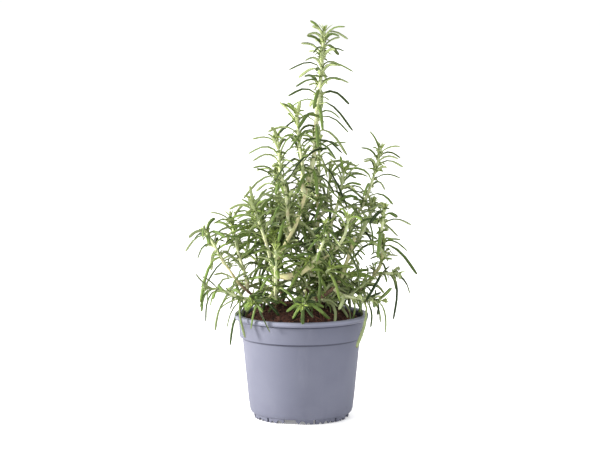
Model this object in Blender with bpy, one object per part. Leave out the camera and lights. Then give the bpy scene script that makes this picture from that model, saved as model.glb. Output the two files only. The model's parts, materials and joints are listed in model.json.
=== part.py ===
"""A rosemary plant in a plastic nursery pot.

The pot is turned from one outline, with its rim, collar, chamfered bottom, crenellated feet and
drain holes. Compost fills it and is domed above the rim. Woody stems stand in the compost, and leafy
shoots grow from them. A shoot is a square green stem with opposite pairs of narrow leaves, each pair
a quarter turn from the last, which is how rosemary grows. Every shoot is one closed solid.

Metres, +Z up. The origin is the middle of the circle that the feet stand on.
"""

import math
import random

import bmesh
import bpy
import numpy as np
from mathutils import Matrix, Vector

MM = 0.001
GAP = 0.3 * MM

# Pot.
POT_HEIGHT = 101 * MM
RIM_RADIUS = 65 * MM
RIM_LIP = 4.0 * MM
RIM_FLANGE = 4.6 * MM
POT_WALL = 1.0 * MM
COLLAR_HEIGHT = 15 * MM
COLLAR_DRAFT = 0.8 * MM
COLLAR_STEP = 2.6 * MM
BODY_TAPER = 6.6 * MM
CHAMFER = 3.8 * MM
FOOT_HEIGHT = 5.0 * MM
FOOT_WALL = 3.6 * MM
FOOT_COUNT = 12
FOOT_NOTCH = 2.2 * MM
WIDE_NOTCH = 12 * MM
SCALLOP_DEPTH = 1.3 * MM
DRAIN_HOLE_RADIUS = 5 * MM
DRAIN_HOLE_COUNT = 6
DRAIN_RING_RADIUS = 28 * MM
POT_SIDES = 48

# Compost.
COMPOST_EDGE_DEPTH = 8 * MM
COMPOST_CROWN = 18 * MM
COMPOST_LUMP = 0.5 * MM
COMPOST_GAP = 0.6 * MM

# Plant, measured from the middle of the rim's top.
PLANT_HEIGHT = 276 * MM
SIDE_OVERHANG = 41 * MM
FRONT_OVERHANG = 17 * MM
PLANT_SPREAD = 2 * (RIM_RADIUS + SIDE_OVERHANG)
PLANT_DEPTH = 2 * (RIM_RADIUS + FRONT_OVERHANG)
PLANTING_DEPTH = 14 * MM
STEM_CLEARANCE = 0.5 * MM
SHOOT_WIDTH = 2.5 * MM
SHOOT_TIP_WIDTH = 1.5 * MM
SIDE_SHOOT_COUNT = 20
SIDE_SHOOT_LENGTH = 55 * MM

# Leaves.
LEAF_WIDTH = 2.6 * MM
LEAF_THICKNESS = 1.0 * MM
LEAF_LENGTH = 29 * MM
LEAF_BASE = 1.6 * MM
LEAF_CLEARANCE = 0.35 * MM
INTERNODE = 12.5 * MM
LEAF_SHARES = (0.32, 0.36, 0.32)
# Turns about the shoot and away from it, in radians, that a leaf tries until it's clear.
LEAF_SHIFTS = ((0, 0), (0.35, 0), (-0.35, 0), (0, 0.3), (0, -0.3), (0.7, 0.15), (-0.7, 0.15))

GOLDEN_ANGLE = math.radians(137.5)
UP = Vector((0, 0, 1))

# Sizes that the outlines share.
BODY_TOP_RADIUS = RIM_RADIUS - RIM_FLANGE - COLLAR_DRAFT - COLLAR_STEP
BODY_FOOT_RADIUS = BODY_TOP_RADIUS - BODY_TAPER
FOOT_RADIUS = BODY_FOOT_RADIUS - CHAMFER
BODY_TOP_Z = POT_HEIGHT - 2 * RIM_LIP - COLLAR_HEIGHT
BODY_FOOT_Z = FOOT_HEIGHT + CHAMFER
FLOOR_Z = FOOT_HEIGHT + POT_WALL
COMPOST_EDGE_Z = POT_HEIGHT - COMPOST_EDGE_DEPTH
COMPOST_RADIUS = RIM_RADIUS - RIM_FLANGE - POT_WALL - COMPOST_GAP - COLLAR_DRAFT / 2


# ---------------------------------------------------------------- scene and shared shapes


def clear_scene():
    for obj in list(bpy.data.objects):
        bpy.data.objects.remove(obj)


def material(name, colour, roughness):
    made = bpy.data.materials.new(name)
    made.use_nodes = True
    shader = made.node_tree.nodes["Principled BSDF"]
    shader.inputs["Base Color"].default_value = (*colour, 1)
    shader.inputs["Roughness"].default_value = roughness
    shader.inputs["Metallic"].default_value = 0
    return made


def mesh_object(name, bm, finish):
    """The bmesh as a named object, with its normals outwards and its curved faces smooth."""
    bmesh.ops.recalc_face_normals(bm, faces=bm.faces)
    mesh = bpy.data.meshes.new(name)
    bm.to_mesh(mesh)
    bm.free()
    mesh.materials.append(finish)
    mesh.shade_smooth()
    mesh.set_sharp_from_angle(angle=math.radians(35))
    obj = bpy.data.objects.new(name, mesh)
    bpy.context.collection.objects.link(obj)
    return obj


def turned(name, outline, finish):
    """A solid of revolution about Z from a closed outline of (radius, height) points."""
    bm = bmesh.new()
    corners = [bm.verts.new((radius, 0, z)) for radius, z in outline]
    edges = [bm.edges.new((a, b)) for a, b in zip(corners, corners[1:] + corners[:1])]
    bmesh.ops.spin(
        bm, geom=corners + edges, cent=(0, 0, 0), axis=(0, 0, 1), angle=math.tau, steps=POT_SIDES
    )
    bmesh.ops.remove_doubles(bm, verts=bm.verts, dist=0.01 * MM)
    on_axis = [e for e in bm.edges if all(v.co.xy.length < 0.01 * MM for v in e.verts)]
    bmesh.ops.delete(bm, geom=on_axis, context="EDGES")
    return mesh_object(name, bm, finish)


def cutter(name, bm):
    """A helper that only cuts others."""
    obj = mesh_object(name, bm, bpy.data.materials["cutter"])
    obj.hide_render = True
    obj.display_type = "WIRE"
    return obj


def cut(obj, tool):
    modifier = obj.modifiers.new(tool.name, "BOOLEAN")
    modifier.operation = "DIFFERENCE"
    modifier.object = tool


def cylinder(bm, radius, bottom, top, sides=16):
    """A cylinder between two points, added to the bmesh."""
    along = top - bottom
    turn = UP.rotation_difference(along).to_matrix().to_4x4()
    bmesh.ops.create_cone(
        bm,
        cap_ends=True,
        segments=sides,
        radius1=radius,
        radius2=radius,
        depth=along.length,
        matrix=Matrix.Translation((bottom + top) / 2) @ turn,
    )


def grown_path(points, spacing):
    """A straight first length, then evenly spaced points on a smooth curve through the rest."""
    ends = [points[1] * 2 - points[2], *points[1:], points[-1] * 2 - points[-2]]
    fine = []
    for a, b, c, d in zip(ends, ends[1:], ends[2:], ends[3:]):
        for step in range(12):
            t = step / 12
            bend = (2 * a - 5 * b + 4 * c - d) * t**2 + (3 * b - a - 3 * c + d) * t**3
            fine.append(b + ((c - a) * t + bend) / 2)
    return [points[0]] + evenly_spaced(fine + [points[-1]], spacing)


def evenly_spaced(line, spacing):
    """The polyline read again at equal steps, both ends kept."""
    reach = [0.0]
    for a, b in zip(line, line[1:]):
        reach.append(reach[-1] + (b - a).length)
    count = max(2, round(reach[-1] / spacing) + 1)
    return [point_along(line, reach, reach[-1] * i / (count - 1)) for i in range(count)]


def point_along(line, reach, distance):
    """The point at this distance along a polyline whose running lengths are known."""
    i = int(np.clip(np.searchsorted(reach, distance) - 1, 0, len(line) - 2))
    step = reach[i + 1] - reach[i]
    return line[i].lerp(line[i + 1], (distance - reach[i]) / step)


# ---------------------------------------------------------------- pot and compost


def pot_outline():
    """The pot's wall as a closed outline, up its outside and down its inside."""
    rim_foot_z = POT_HEIGHT - 2 * RIM_LIP
    collar_top = RIM_RADIUS - RIM_FLANGE
    collar_foot = collar_top - COLLAR_DRAFT
    soften = RIM_LIP / 4
    return [
        (DRAIN_HOLE_RADIUS, FOOT_HEIGHT),
        (FOOT_RADIUS - FOOT_WALL, FOOT_HEIGHT),
        (FOOT_RADIUS - FOOT_WALL, 0),
        (FOOT_RADIUS - soften, 0),
        (FOOT_RADIUS, FOOT_HEIGHT),
        (BODY_FOOT_RADIUS, BODY_FOOT_Z),
        (BODY_TOP_RADIUS, BODY_TOP_Z),
        (collar_foot, BODY_TOP_Z + COLLAR_STEP / 2),
        (collar_top, rim_foot_z),
        (RIM_RADIUS - soften, POT_HEIGHT - RIM_LIP),
        (RIM_RADIUS, POT_HEIGHT - RIM_LIP + soften),
        (RIM_RADIUS, POT_HEIGHT - soften),
        (RIM_RADIUS - soften, POT_HEIGHT),
        (collar_top, POT_HEIGHT),
        (collar_top - POT_WALL, POT_HEIGHT - soften),
        (collar_foot - POT_WALL, BODY_TOP_Z + COLLAR_STEP / 2 + POT_WALL / 2),
        (BODY_TOP_RADIUS - POT_WALL, BODY_TOP_Z - POT_WALL / 2),
        (BODY_FOOT_RADIUS - POT_WALL, BODY_FOOT_Z + POT_WALL / 2),
        (FOOT_RADIUS - POT_WALL / 2, FLOOR_Z),
        (DRAIN_HOLE_RADIUS, FLOOR_Z),
    ]


def make_pot(finish):
    pot = turned("pot", pot_outline(), finish)
    cut(pot, drain_cutter())
    cut(pot, notch_cutter())
    return pot


def drain_cutter():
    """Round holes in the floor, on a ring about the middle one."""
    bm = bmesh.new()
    for i in range(DRAIN_HOLE_COUNT):
        turn = math.tau * i / DRAIN_HOLE_COUNT
        at = Vector((math.cos(turn), math.sin(turn), 0)) * DRAIN_RING_RADIUS
        below = at + UP * (FOOT_HEIGHT - POT_WALL)
        cylinder(bm, DRAIN_HOLE_RADIUS, below, at + UP * (FLOOR_Z + POT_WALL))
    return cutter("drain_cutter", bm)


def notch_cutter():
    """The gaps between the feet, every third one wide, and the scallop under each foot."""
    bm = bmesh.new()
    mid_radius = FOOT_RADIUS - FOOT_WALL / 2
    pitch = math.tau / FOOT_COUNT
    overcut = POT_WALL
    for i in range(FOOT_COUNT):
        width = WIDE_NOTCH if i % 3 == 0 else FOOT_NOTCH
        notch_z = FOOT_HEIGHT / 2 - overcut / 2
        notch = (width, FOOT_WALL + 2 * overcut, FOOT_HEIGHT + overcut)
        around = Matrix.Rotation(pitch * (i - 3.5) + math.radians(1), 4, "Z")
        place = around @ Matrix.Translation((0, -mid_radius, notch_z))
        bmesh.ops.create_cube(bm, size=1, matrix=place @ Matrix.Diagonal((*notch, 1)))
        between = Matrix.Rotation(pitch / 2, 4, "Z") @ around
        scallop = Matrix.Diagonal((FOOT_NOTCH, FOOT_WALL + 2 * overcut, 2 * SCALLOP_DEPTH, 1))
        place = between @ Matrix.Translation((0, -mid_radius, 0))
        bmesh.ops.create_cube(bm, size=1, matrix=place @ scallop)
    return cutter("notch_cutter", bm)


def compost_height(radius):
    """Height of the domed compost at this distance from the axis."""
    share = min(1.0, radius / COMPOST_RADIUS)
    return COMPOST_EDGE_Z + COMPOST_CROWN * (1 - share**3)


def compost_outline():
    """Half of the root ball's section: the pot's inside, less a gap, with a domed top."""
    inner = POT_WALL + COMPOST_GAP
    dome = [COMPOST_RADIUS * share for share in (0.9, 0.75, 0.5, 0.25, 0)]
    return [
        (0, FLOOR_Z + GAP),
        (FOOT_RADIUS - inner, FLOOR_Z + GAP),
        (BODY_FOOT_RADIUS - inner, BODY_FOOT_Z + COMPOST_GAP),
        (BODY_TOP_RADIUS - inner, BODY_TOP_Z),
        (COMPOST_RADIUS - COLLAR_DRAFT / 2, BODY_TOP_Z + COLLAR_STEP + POT_WALL / 2),
        (COMPOST_RADIUS, COMPOST_EDGE_Z),
        *((radius, compost_height(radius)) for radius in dome),
    ]


def make_compost(stems, finish):
    """The root ball, lumpy on top, with a socket for every stem that stands in it."""
    compost = turned("compost", compost_outline(), finish)
    rng = random.Random(5)
    for vertex in compost.data.vertices:
        if vertex.co.z > COMPOST_EDGE_Z + GAP:
            vertex.co.z += rng.uniform(-COMPOST_LUMP, COMPOST_LUMP)
    bm = bmesh.new()
    for stem in stems:
        if stem.parent is None:
            foot = stem.path[0]
            top = Vector((foot.x, foot.y, POT_HEIGHT + COMPOST_CROWN))
            cylinder(bm, stem.radii[0] + STEM_CLEARANCE, foot - UP * GAP, top, sides=10)
    cut(compost, cutter("socket_cutter", bm))
    return compost


# ---------------------------------------------------------------- where things may grow


class Space:
    """The room already taken, as round beads along every stem and leaf, each with its owner."""

    def __init__(self):
        self.centres = np.zeros((0, 3))
        self.radii = np.zeros(0)
        self.owners = np.zeros(0, dtype="U40")

    def fill(self, points, radius, owner):
        self.centres = np.vstack([self.centres, np.array(points)])
        self.radii = np.append(self.radii, np.full(len(points), radius))
        self.owners = np.append(self.owners, np.full(len(points), owner))

    def room(self, points, radius, ignoring=""):
        """The least room round beads of this radius, less than 0 where they'd touch anything."""
        reach = radius + LEAF_CLEARANCE
        if not all(clear_of_pot(p, reach) for p in points):
            return -1
        others = self.owners != ignoring
        apart = np.linalg.norm(self.centres[None, others] - np.array(points)[:, None], axis=2)
        return float((apart - self.radii[others] - reach).min())

    def branch_room(self, points, radius, parent):
        """The same for what grows from a parent, whose beads its first few points may be near."""
        return min(self.room(points[1:4], radius, parent), self.room(points[4:], radius))


def clear_of_pot(point, margin):
    """Whether a point keeps this margin from the pot and the compost, and stays in the spread."""
    radius = point.xy.length
    if abs(point.x) > PLANT_SPREAD / 2 - margin or abs(point.y) > PLANT_DEPTH / 2 - margin:
        return False
    if point.z < compost_height(radius) + COMPOST_LUMP + margin and radius < RIM_RADIUS:
        return False
    inside_wall = radius < RIM_RADIUS - RIM_FLANGE - POT_WALL - margin
    return point.z > POT_HEIGHT + margin or radius > RIM_RADIUS + margin or inside_wall


# ---------------------------------------------------------------- woody stems


class Stem:
    """A woody stem: a tapered round tube along a smooth path."""

    def __init__(self, name, points, base_radius, top_radius, parent=None):
        self.name = name
        self.parent = parent
        self.path = grown_path(points, 8 * MM)
        taper = np.linspace(base_radius, top_radius, len(self.path))
        self.radii = [float(radius) for radius in taper]

    def direction(self, i):
        after = min(i + 1, len(self.path) - 1)
        return (self.path[after] - self.path[max(i - 1, 0)]).normalized()

    def beads(self):
        return evenly_spaced(self.path, 1.5 * MM)

    def make(self, finish):
        curve = bpy.data.curves.new(self.name, "CURVE")
        curve.dimensions = "3D"
        curve.use_fill_caps = True
        curve.bevel_depth = 1
        curve.bevel_resolution = 1
        spline = curve.splines.new("POLY")
        spline.points.add(len(self.path) - 1)
        for point, place, radius in zip(spline.points, self.path, self.radii):
            point.co = (*place, 1)
            point.radius = radius
        curve.materials.append(finish)
        obj = bpy.data.objects.new(self.name, curve)
        bpy.context.collection.objects.link(obj)
        return obj


def plant_point(x, y, z):
    """A point of the plant from millimetres off the middle of the rim's top, at its full size."""
    wide = PLANT_SPREAD / 212
    deep = PLANT_DEPTH / 164
    tall = PLANT_HEIGHT / 276
    return Vector((x * wide, y * deep, POT_HEIGHT + z * tall))


def rooted(name, foot, points, base_radius, top_radius):
    """A stem that stands in the compost at foot, in millimetres off the axis."""
    scale = RIM_RADIUS / 65
    x, y = foot[0] * scale, foot[1] * scale
    collar = Vector((x, y, compost_height(math.hypot(x, y)) + 2 * MM))
    above = [plant_point(*p) for p in points]
    start = [collar - UP * PLANTING_DEPTH, collar]
    return Stem(name, start + above, base_radius * MM, top_radius * MM)


def outward(parent, i, target):
    """Square to the parent stem at its i-th point, towards the target."""
    aim = target - parent.path[i]
    return (aim - aim.project(parent.direction(i))).normalized()


def foothold(parent, i, out):
    """The first two points of what grows from the parent's side, square to its bark."""
    foot = parent.path[i] + out * (parent.radii[i] + GAP)
    return [foot, foot + out * 2.5 * MM]


def branch(name, parent, at, points, base_radius, top_radius):
    """A stem that leaves another one at this share of its length."""
    i = round(at * (len(parent.path) - 1))
    above = [plant_point(*p) for p in points]
    start = foothold(parent, i, outward(parent, i, above[0]))
    return Stem(name, start + above, base_radius * MM, top_radius * MM, parent)


def woody_stems():
    """The framework. Points are millimetres off the middle of the rim's top."""
    main = [(-25, -23, 24), (-24, -25, 46), (-21, -25, 60), (-8, -22, 83), (-2, -18, 97), (6, -8, 125)]
    right = [(3, -30, 13), (10, -28, 16), (19, -26, 20), (30, -23, 27), (38, -19, 37), (42, -16, 48)]
    right += [(47, -13, 62), (51, -10, 75)]
    far_right = [(30, 4, 14), (38, 3, 17), (48, 2, 20), (58, 0, 25), (66, -2, 31), (73, -3, 42)]
    far_right += [(77, -4, 50), (78, -5, 63), (79, -6, 78)]
    second = [(7, 9, 26), (12, 10, 50), (16, 9, 75), (16, 7, 100), (15, 5, 118)]
    back_right = [(16, 22, 30), (24, 17, 50), (33, 13, 70)]
    left = [(-42, -12, 14), (-50, -13, 22), (-60, -13, 31), (-68, -12, 42), (-74, -10, 50)]
    back_left = [(-21, 24, 22), (-26, 32, 42), (-27, 38, 62), (-24, 40, 84)]
    back = [(7, 40, 20), (9, 48, 38), (8, 52, 56)]
    crossing = [(-16, -30, 38), (-4, -31, 43), (10, -32, 51), (24, -30, 59), (30, -28, 64)]
    stems = [
        rooted("main_stem", (-25, -21), main, 2.2, 1.7),
        rooted("right_stem", (-2, -31), right, 2.3, 2.1),
        rooted("far_right_stem", (26, 4), far_right, 2.2, 1.9),
        rooted("second_leader_stem", (4, 9), second, 2.0, 1.5),
        rooted("back_right_stem", (12, 24), back_right, 1.9, 1.5),
        rooted("left_stem", (-37, -9), left, 1.8, 1.4),
        rooted("back_left_stem", (-18, 18), back_left, 1.9, 1.4),
        rooted("back_stem", (4, 34), back, 1.7, 1.3),
    ]
    return stems + [branch("crossing_branch", stems[0], 0.27, crossing, 1.3, 1.1)]


# ---------------------------------------------------------------- leafy shoots


class Leaf:
    """A narrow blade in three straight lengths, from its root on a shoot to its point."""

    def __init__(self, root, out, axis, length, rise, bend, droop):
        """rise is its angle from the shoot, bend how far it arches back, droop gravity's share."""
        self.side = axis.cross(out).normalized()
        heading = (axis * math.cos(rise) + out * math.sin(rise)).normalized()
        pull = (-UP * droop - axis * (1 - droop)).normalized()
        self.points = [root]
        self.headings = [heading]
        for share in LEAF_SHARES:
            self.points.append(self.points[-1] + heading * length * share)
            heading = (heading + pull * math.sin(bend / len(LEAF_SHARES))).normalized()
            self.headings.append(heading)

    def beads(self):
        """Places along the blade, from its root on."""
        return evenly_spaced(self.points, 1.2 * MM)

    def ring(self, i):
        """Four corners round the blade at its i-th point."""
        along = (self.headings[i - 1] + self.headings[i]).normalized()
        side = (self.side - along * self.side.dot(along)).normalized()
        up = along.cross(side)
        half = side * LEAF_WIDTH / 2
        thick = up * LEAF_THICKNESS / 2
        low = self.points[i] - thick
        high = self.points[i] + thick
        return [low - half, low + half, high + half, high - half]


class Shoot:
    """A leafy shoot. Its square stem has two rings of corners at each pair of leaves."""

    def __init__(
        self, name, parent, points, out, leaf_length=1.0, arch=70, droop=0.4, internode=1.0, twist=25
    ):
        self.name = name
        self.parent = parent.name
        self.path = grown_path(points, 1.5 * MM)
        self.out = out
        self.leaf_length = LEAF_LENGTH * leaf_length
        self.arch = math.radians(arch)
        self.droop = droop
        self.internode = INTERNODE * internode
        self.twist = math.radians(twist)
        self.rng = random.Random(name)
        self.leaves = {}

    def beads(self):
        return self.path

    def lengths(self):
        reach = [0.0]
        for a, b in zip(self.path, self.path[1:]):
            reach.append(reach[-1] + (b - a).length)
        return reach

    def node_places(self):
        """Distances along the shoot of its pairs of leaves, which stand closer towards the tip."""
        total = self.lengths()[-1]
        step = self.internode
        place = min(0.45 * step, total / 3)
        places = []
        while place < total - LEAF_BASE - 1.2 * MM:
            places.append(place)
            share = place / total
            place += max(0.36, 1 - 0.75 * share**1.5) * step
        return places

    def frame(self, distance):
        """(centre, axis, first face's outward direction) at this distance along the shoot."""
        reach = self.lengths()
        centre = point_along(self.path, reach, distance)
        ahead = point_along(self.path, reach, min(distance + 2 * MM, reach[-1]))
        behind = point_along(self.path, reach, max(distance - 2 * MM, 0))
        axis = (ahead - behind).normalized()
        face = (self.out - axis * self.out.dot(axis)).normalized()
        turned_by = self.twist * distance / INTERNODE
        return centre, axis, Matrix.Rotation(turned_by, 3, axis) @ face

    def width(self, distance):
        return SHOOT_WIDTH + (SHOOT_TIP_WIDTH - SHOOT_WIDTH) * distance / self.lengths()[-1]

    def corners(self, distance):
        """The square section, with corner i between faces i - 1 and i."""
        centre, axis, face = self.frame(distance)
        across = axis.cross(face)
        half = self.width(distance) / 2
        around = ((1, -1), (1, 1), (-1, 1), (-1, -1))
        return [centre + (face * a + across * b) * half for a, b in around]

    def grow(self, space):
        """Gives each pair of leaves the first pose that is clear of everything grown before."""
        total = self.lengths()[-1]
        for node, place in enumerate(self.node_places()):
            centre, axis, face = self.frame(place + LEAF_BASE / 2)
            for side in (0, 2):
                index = (node + side) % 4
                out = Matrix.Rotation(index * math.pi / 2, 3, axis) @ face
                root = centre + out * self.width(place) / 2
                leaf = self.clear_leaf(space, root, out, axis, place / total)
                if leaf:
                    self.leaves[node, index] = leaf
                    space.fill(leaf.beads(), LEAF_WIDTH / 2, self.name)

    def clear_leaf(self, space, root, out, axis, share):
        """A leaf for this place on the shoot, tried in a fixed order of poses, or None."""
        young = share**2
        base = self.leaf_length * (1 - 0.5 * young) * self.rng.uniform(0.88, 1.12)
        rise = math.radians(58 - 40 * young + self.rng.uniform(-9, 9))
        bend = self.arch * (1 - 0.75 * young) * self.rng.uniform(0.5, 1.35)
        swing = self.rng.uniform(-0.3, 0.3)
        for shorter in (1.0, 0.82, 0.66):
            for yaw, lift in LEAF_SHIFTS:
                facing = Matrix.Rotation(swing + yaw, 3, axis) @ out
                leaf = Leaf(root, facing, axis, base * shorter, rise + lift, bend - lift, self.droop)
                if space.branch_room(leaf.beads(), LEAF_WIDTH / 2, self.name) > 0:
                    return leaf
        return None

    def make(self, finish):
        bm = bmesh.new()
        below = [bm.verts.new(p) for p in self.corners(0)]
        bm.faces.new(reversed(below))
        for node, place in enumerate(self.node_places()):
            low = [bm.verts.new(p) for p in self.corners(place)]
            high = [bm.verts.new(p) for p in self.corners(place + LEAF_BASE)]
            join_rings(bm, below, low)
            leaf_faces = {index: leaf for (n, index), leaf in self.leaves.items() if n == node}
            join_rings(bm, low, high, leave_open=leaf_faces)
            for index, leaf in leaf_faces.items():
                after = (index + 1) % 4
                blade(bm, [low[index], low[after], high[after], high[index]], leaf)
            below = high
        tip = [bm.verts.new(p) for p in self.corners(self.lengths()[-1])]
        join_rings(bm, below, tip)
        bm.faces.new(tip)
        return mesh_object(self.name, bm, finish)


def join_rings(bm, lower, upper, leave_open=()):
    """Faces between two rings of four corners, apart from those that a leaf grows from."""
    for i in range(4):
        if i not in leave_open:
            after = (i + 1) % 4
            bm.faces.new([lower[i], lower[after], upper[after], upper[i]])


def blade(bm, root, leaf):
    """Grows the leaf's skin from the four corners of its root to its point."""
    ring = root
    for i in range(1, len(leaf.points) - 1):
        following = [bm.verts.new(p) for p in leaf.ring(i)]
        join_rings(bm, ring, following)
        ring = following
    point = bm.verts.new(leaf.points[-1])
    for i in range(4):
        bm.faces.new([ring[i], ring[(i + 1) % 4], point])


HANGING = {"arch": 105, "droop": 0.8}
UPRIGHT = {"arch": 65}

# Each shoot: its name, the stem it grows from, where along that stem (1 carries the stem on), the
# points it passes, in millimetres off the middle of the rim's top, and its habit.
SHOOT_ROUTES = [
    (
        "leader_shoot", "main_stem", 1,
        [(10, -6, 142), (13, -5, 160), (14, -4, 179), (15, -3, 197), (18, -2, 222), (22, -2, 273)],
        {"arch": 115, "internode": 1.15},
    ),
    (
        "right_high_shoot", "back_right_stem", 1,
        [(43, 10, 83), (51, 8, 92), (59, 6, 104), (65, 5, 118), (72, 3, 141), (77, 2, 160)],
        {"arch": 110},
    ),
    (
        "left_high_shoot", "main_stem", 0.62,
        [(-13, -16, 98), (-15, -12, 120), (-20, -10, 137), (-21, -9, 150), (-23, -8, 171)],
        {"arch": 85, "leaf_length": 1.05},
    ),
    (
        "middle_high_shoot", "main_stem", 0.93,
        [(1, -12, 146), (-1, -14, 160), (-3, -15, 175), (-4, -15, 196)],
        UPRIGHT,
    ),
    ("far_left_shoot", "left_stem", 1, [(-79, -10, 59), (-84, -11, 68), (-92, -12, 82)], {"arch": 75}),
    (
        "low_left_shoot", "left_stem", 0.28,
        [(-54, -21, 17), (-64, -25, 21), (-78, -27, 27), (-90, -28, 28)],
        HANGING,
    ),
    ("left_middle_shoot", "left_stem", 0.5, [(-56, -4, 44), (-62, 1, 64), (-68, 5, 94)], UPRIGHT),
    (
        "left_crown_shoot", "main_stem", 0.33,
        [(-32, -23, 66), (-38, -20, 84), (-43, -19, 98), (-47, -18, 111)],
        UPRIGHT,
    ),
    ("inner_right_shoot", "second_leader_stem", 0.82, [(24, 12, 104), (29, 13, 140)], UPRIGHT),
    ("second_leader_shoot", "second_leader_stem", 1, [(17, 10, 134), (17, 15, 150), (18, 18, 166)], {}),
    (
        "right_middle_shoot", "second_leader_stem", 0.45,
        [(24, 8, 70), (32, 4, 96), (37, 0, 114), (41, -3, 138)],
        {},
    ),
    ("right_stub_shoot", "right_stem", 0.9, [(57, -4, 76), (64, 3, 90), (70, 7, 108)], {}),
    ("far_right_shoot", "far_right_stem", 0.86, [(76, -11, 76), (80, -14, 104)], {"arch": 85}),
    (
        "low_right_shoot", "right_stem", 0.45,
        [(42, -26, 20), (54, -29, 19), (66, -31, 17), (78, -32, 17)],
        HANGING,
    ),
    ("right_hanging_shoot", "far_right_stem", 0.62, [(79, -9, 40), (92, -17, 41)], HANGING),
    ("front_shoot", "crossing_branch", 0.62, [(14, -38, 58), (20, -41, 72), (23, -42, 92)], {}),
    ("crossing_shoot", "crossing_branch", 1, [(37, -30, 71), (42, -33, 82), (45, -35, 97)], {}),
    ("front_low_left_shoot", "main_stem", 0.16, [(-32, -34, 18), (-46, -58, 19)], HANGING),
    ("front_low_shoot", "right_stem", 0.25, [(6, -42, 16), (4, -55, 19), (1, -68, 18)], HANGING),
    ("back_shoot", "back_stem", 1, [(8, 57, 70), (5, 61, 87), (1, 63, 104)], {}),
    ("low_back_shoot", "back_stem", 0.3, [(0, 54, 22), (-8, 72, 22)], HANGING),
    ("right_back_shoot", "back_stem", 0.7, [(20, 55, 44), (33, 58, 53), (42, 60, 64)], {}),
    ("left_back_shoot", "back_left_stem", 1, [(-22, 43, 99), (-23, 45, 116), (-24, 47, 134)], {}),
    ("left_side_shoot", "back_left_stem", 0.45, [(-38, 35, 42), (-52, 37, 53), (-63, 38, 66)], {}),
    ("low_back_left_shoot", "back_left_stem", 0.25, [(-33, 34, 19), (-58, 49, 21)], HANGING),
    ("back_left_shoot", "back_left_stem", 0.75, [(-33, 48, 68), (-40, 57, 80), (-45, 62, 96)], {}),
    ("low_back_right_shoot", "back_right_stem", 0.22, [(26, 32, 20), (54, 47, 23)], HANGING),
    ("right_side_shoot", "back_right_stem", 0.6, [(33, 26, 56), (44, 34, 67), (51, 39, 82)], {}),
]


def attached(name, parent, at, points, **habit):
    """A shoot from a woody stem: at 1 it carries the stem on, and below 1 it leaves its side."""
    targets = [plant_point(*p) for p in points]
    i = round(at * (len(parent.path) - 1))
    axis = parent.direction(i)
    if at == 1:
        foot = parent.path[i] + axis * GAP
        start = [foot, foot + axis * 2.5 * MM]
        return Shoot(name, parent, start + targets, axis.orthogonal(), **habit)
    out = outward(parent, i, targets[0])
    return Shoot(name, parent, foothold(parent, i, out) + targets, axis.cross(out), **habit)


def named_shoots(stems):
    """The shoots that give the plant its outline."""
    by_name = {stem.name: stem for stem in stems}
    return [
        attached(name, by_name[parent], at, points, **habit)
        for name, parent, at, points, habit in SHOOT_ROUTES
    ]


def envelope_radius(height):
    """How far to each side the side shoots reach from the axis, at this height above the rim."""
    share = height / (0.58 * PLANT_HEIGHT)
    return (0.86 - 0.62 * share**1.4) * (PLANT_SPREAD / 2 - 0.75 * LEAF_LENGTH)


def side_shoot(number, stems, space):
    """A shoot towards the next place on the plant's outline, the first choice that has room."""
    roomiest = None
    most = -math.inf
    for shoot in side_shoot_choices(number, stems):
        room = space.branch_room(shoot.path, SHOOT_WIDTH * 0.7, shoot.parent)
        if room > 0:
            return shoot
        if room > most:
            roomiest, most = shoot, room
    return roomiest


def side_shoot_choices(number, stems):
    """Shoots from the stems near the wanted place, the best first, then from further round."""
    height = (0.07 + 0.42 * ((number * 0.618) % 1)) * PLANT_HEIGHT
    azimuth = number * GOLDEN_ANGLE + 0.6
    inward = 1 - 0.2 * (number % 3)
    depth = PLANT_DEPTH / PLANT_SPREAD
    for turn in (0, 0.25, -0.25, 0.5, -0.5, 0.8, -0.8, 1.2, -1.2, 1.7, -1.7, 2.4):
        for shrink in (1, 0.82, 0.64):
            reach = envelope_radius(height) * inward * shrink
            facing = azimuth + turn
            across = Vector((math.cos(facing), math.sin(facing) * depth, 0))
            tip = across * reach + UP * (POT_HEIGHT + height * (0.8 + 0.2 * shrink))
            for stem, i in suitable_places(tip, stems):
                yield bent_shoot(number, stem, i, tip)


def suitable_places(tip, stems):
    """Places on the stems from which a shoot would rise to the tip, the best first."""
    found = []
    for stem in stems:
        for i in range(2, len(stem.path) - 1):
            offset = tip - stem.path[i]
            if offset.z > 0.12 * offset.length and offset.length > 30 * MM:
                found.append((abs(offset.length - SIDE_SHOOT_LENGTH), stem.name, i, stem))
    return [(stem, i) for _, _, i, stem in sorted(found, key=lambda place: place[:3])[:14]]


def bent_shoot(number, stem, i, tip):
    """A side shoot that leaves the stem squarely, and turns upwards to its tip."""
    out = outward(stem, i, tip)
    start = foothold(stem, i, out)
    span = tip - start[1]
    elbow = start[1] + span * 0.45 + out * span.length * 0.12 - UP * span.length * 0.05
    age = number / SIDE_SHOOT_COUNT
    leaf_length = 0.85 + 0.25 * ((age * 7) % 1)
    name = f"side_shoot_{number + 1:02d}"
    across = stem.direction(i).cross(out)
    return Shoot(name, stem, [*start, elbow, tip], across, leaf_length, arch=60 + 35 * age, droop=0.5)


# ---------------------------------------------------------------- the whole plant


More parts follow.
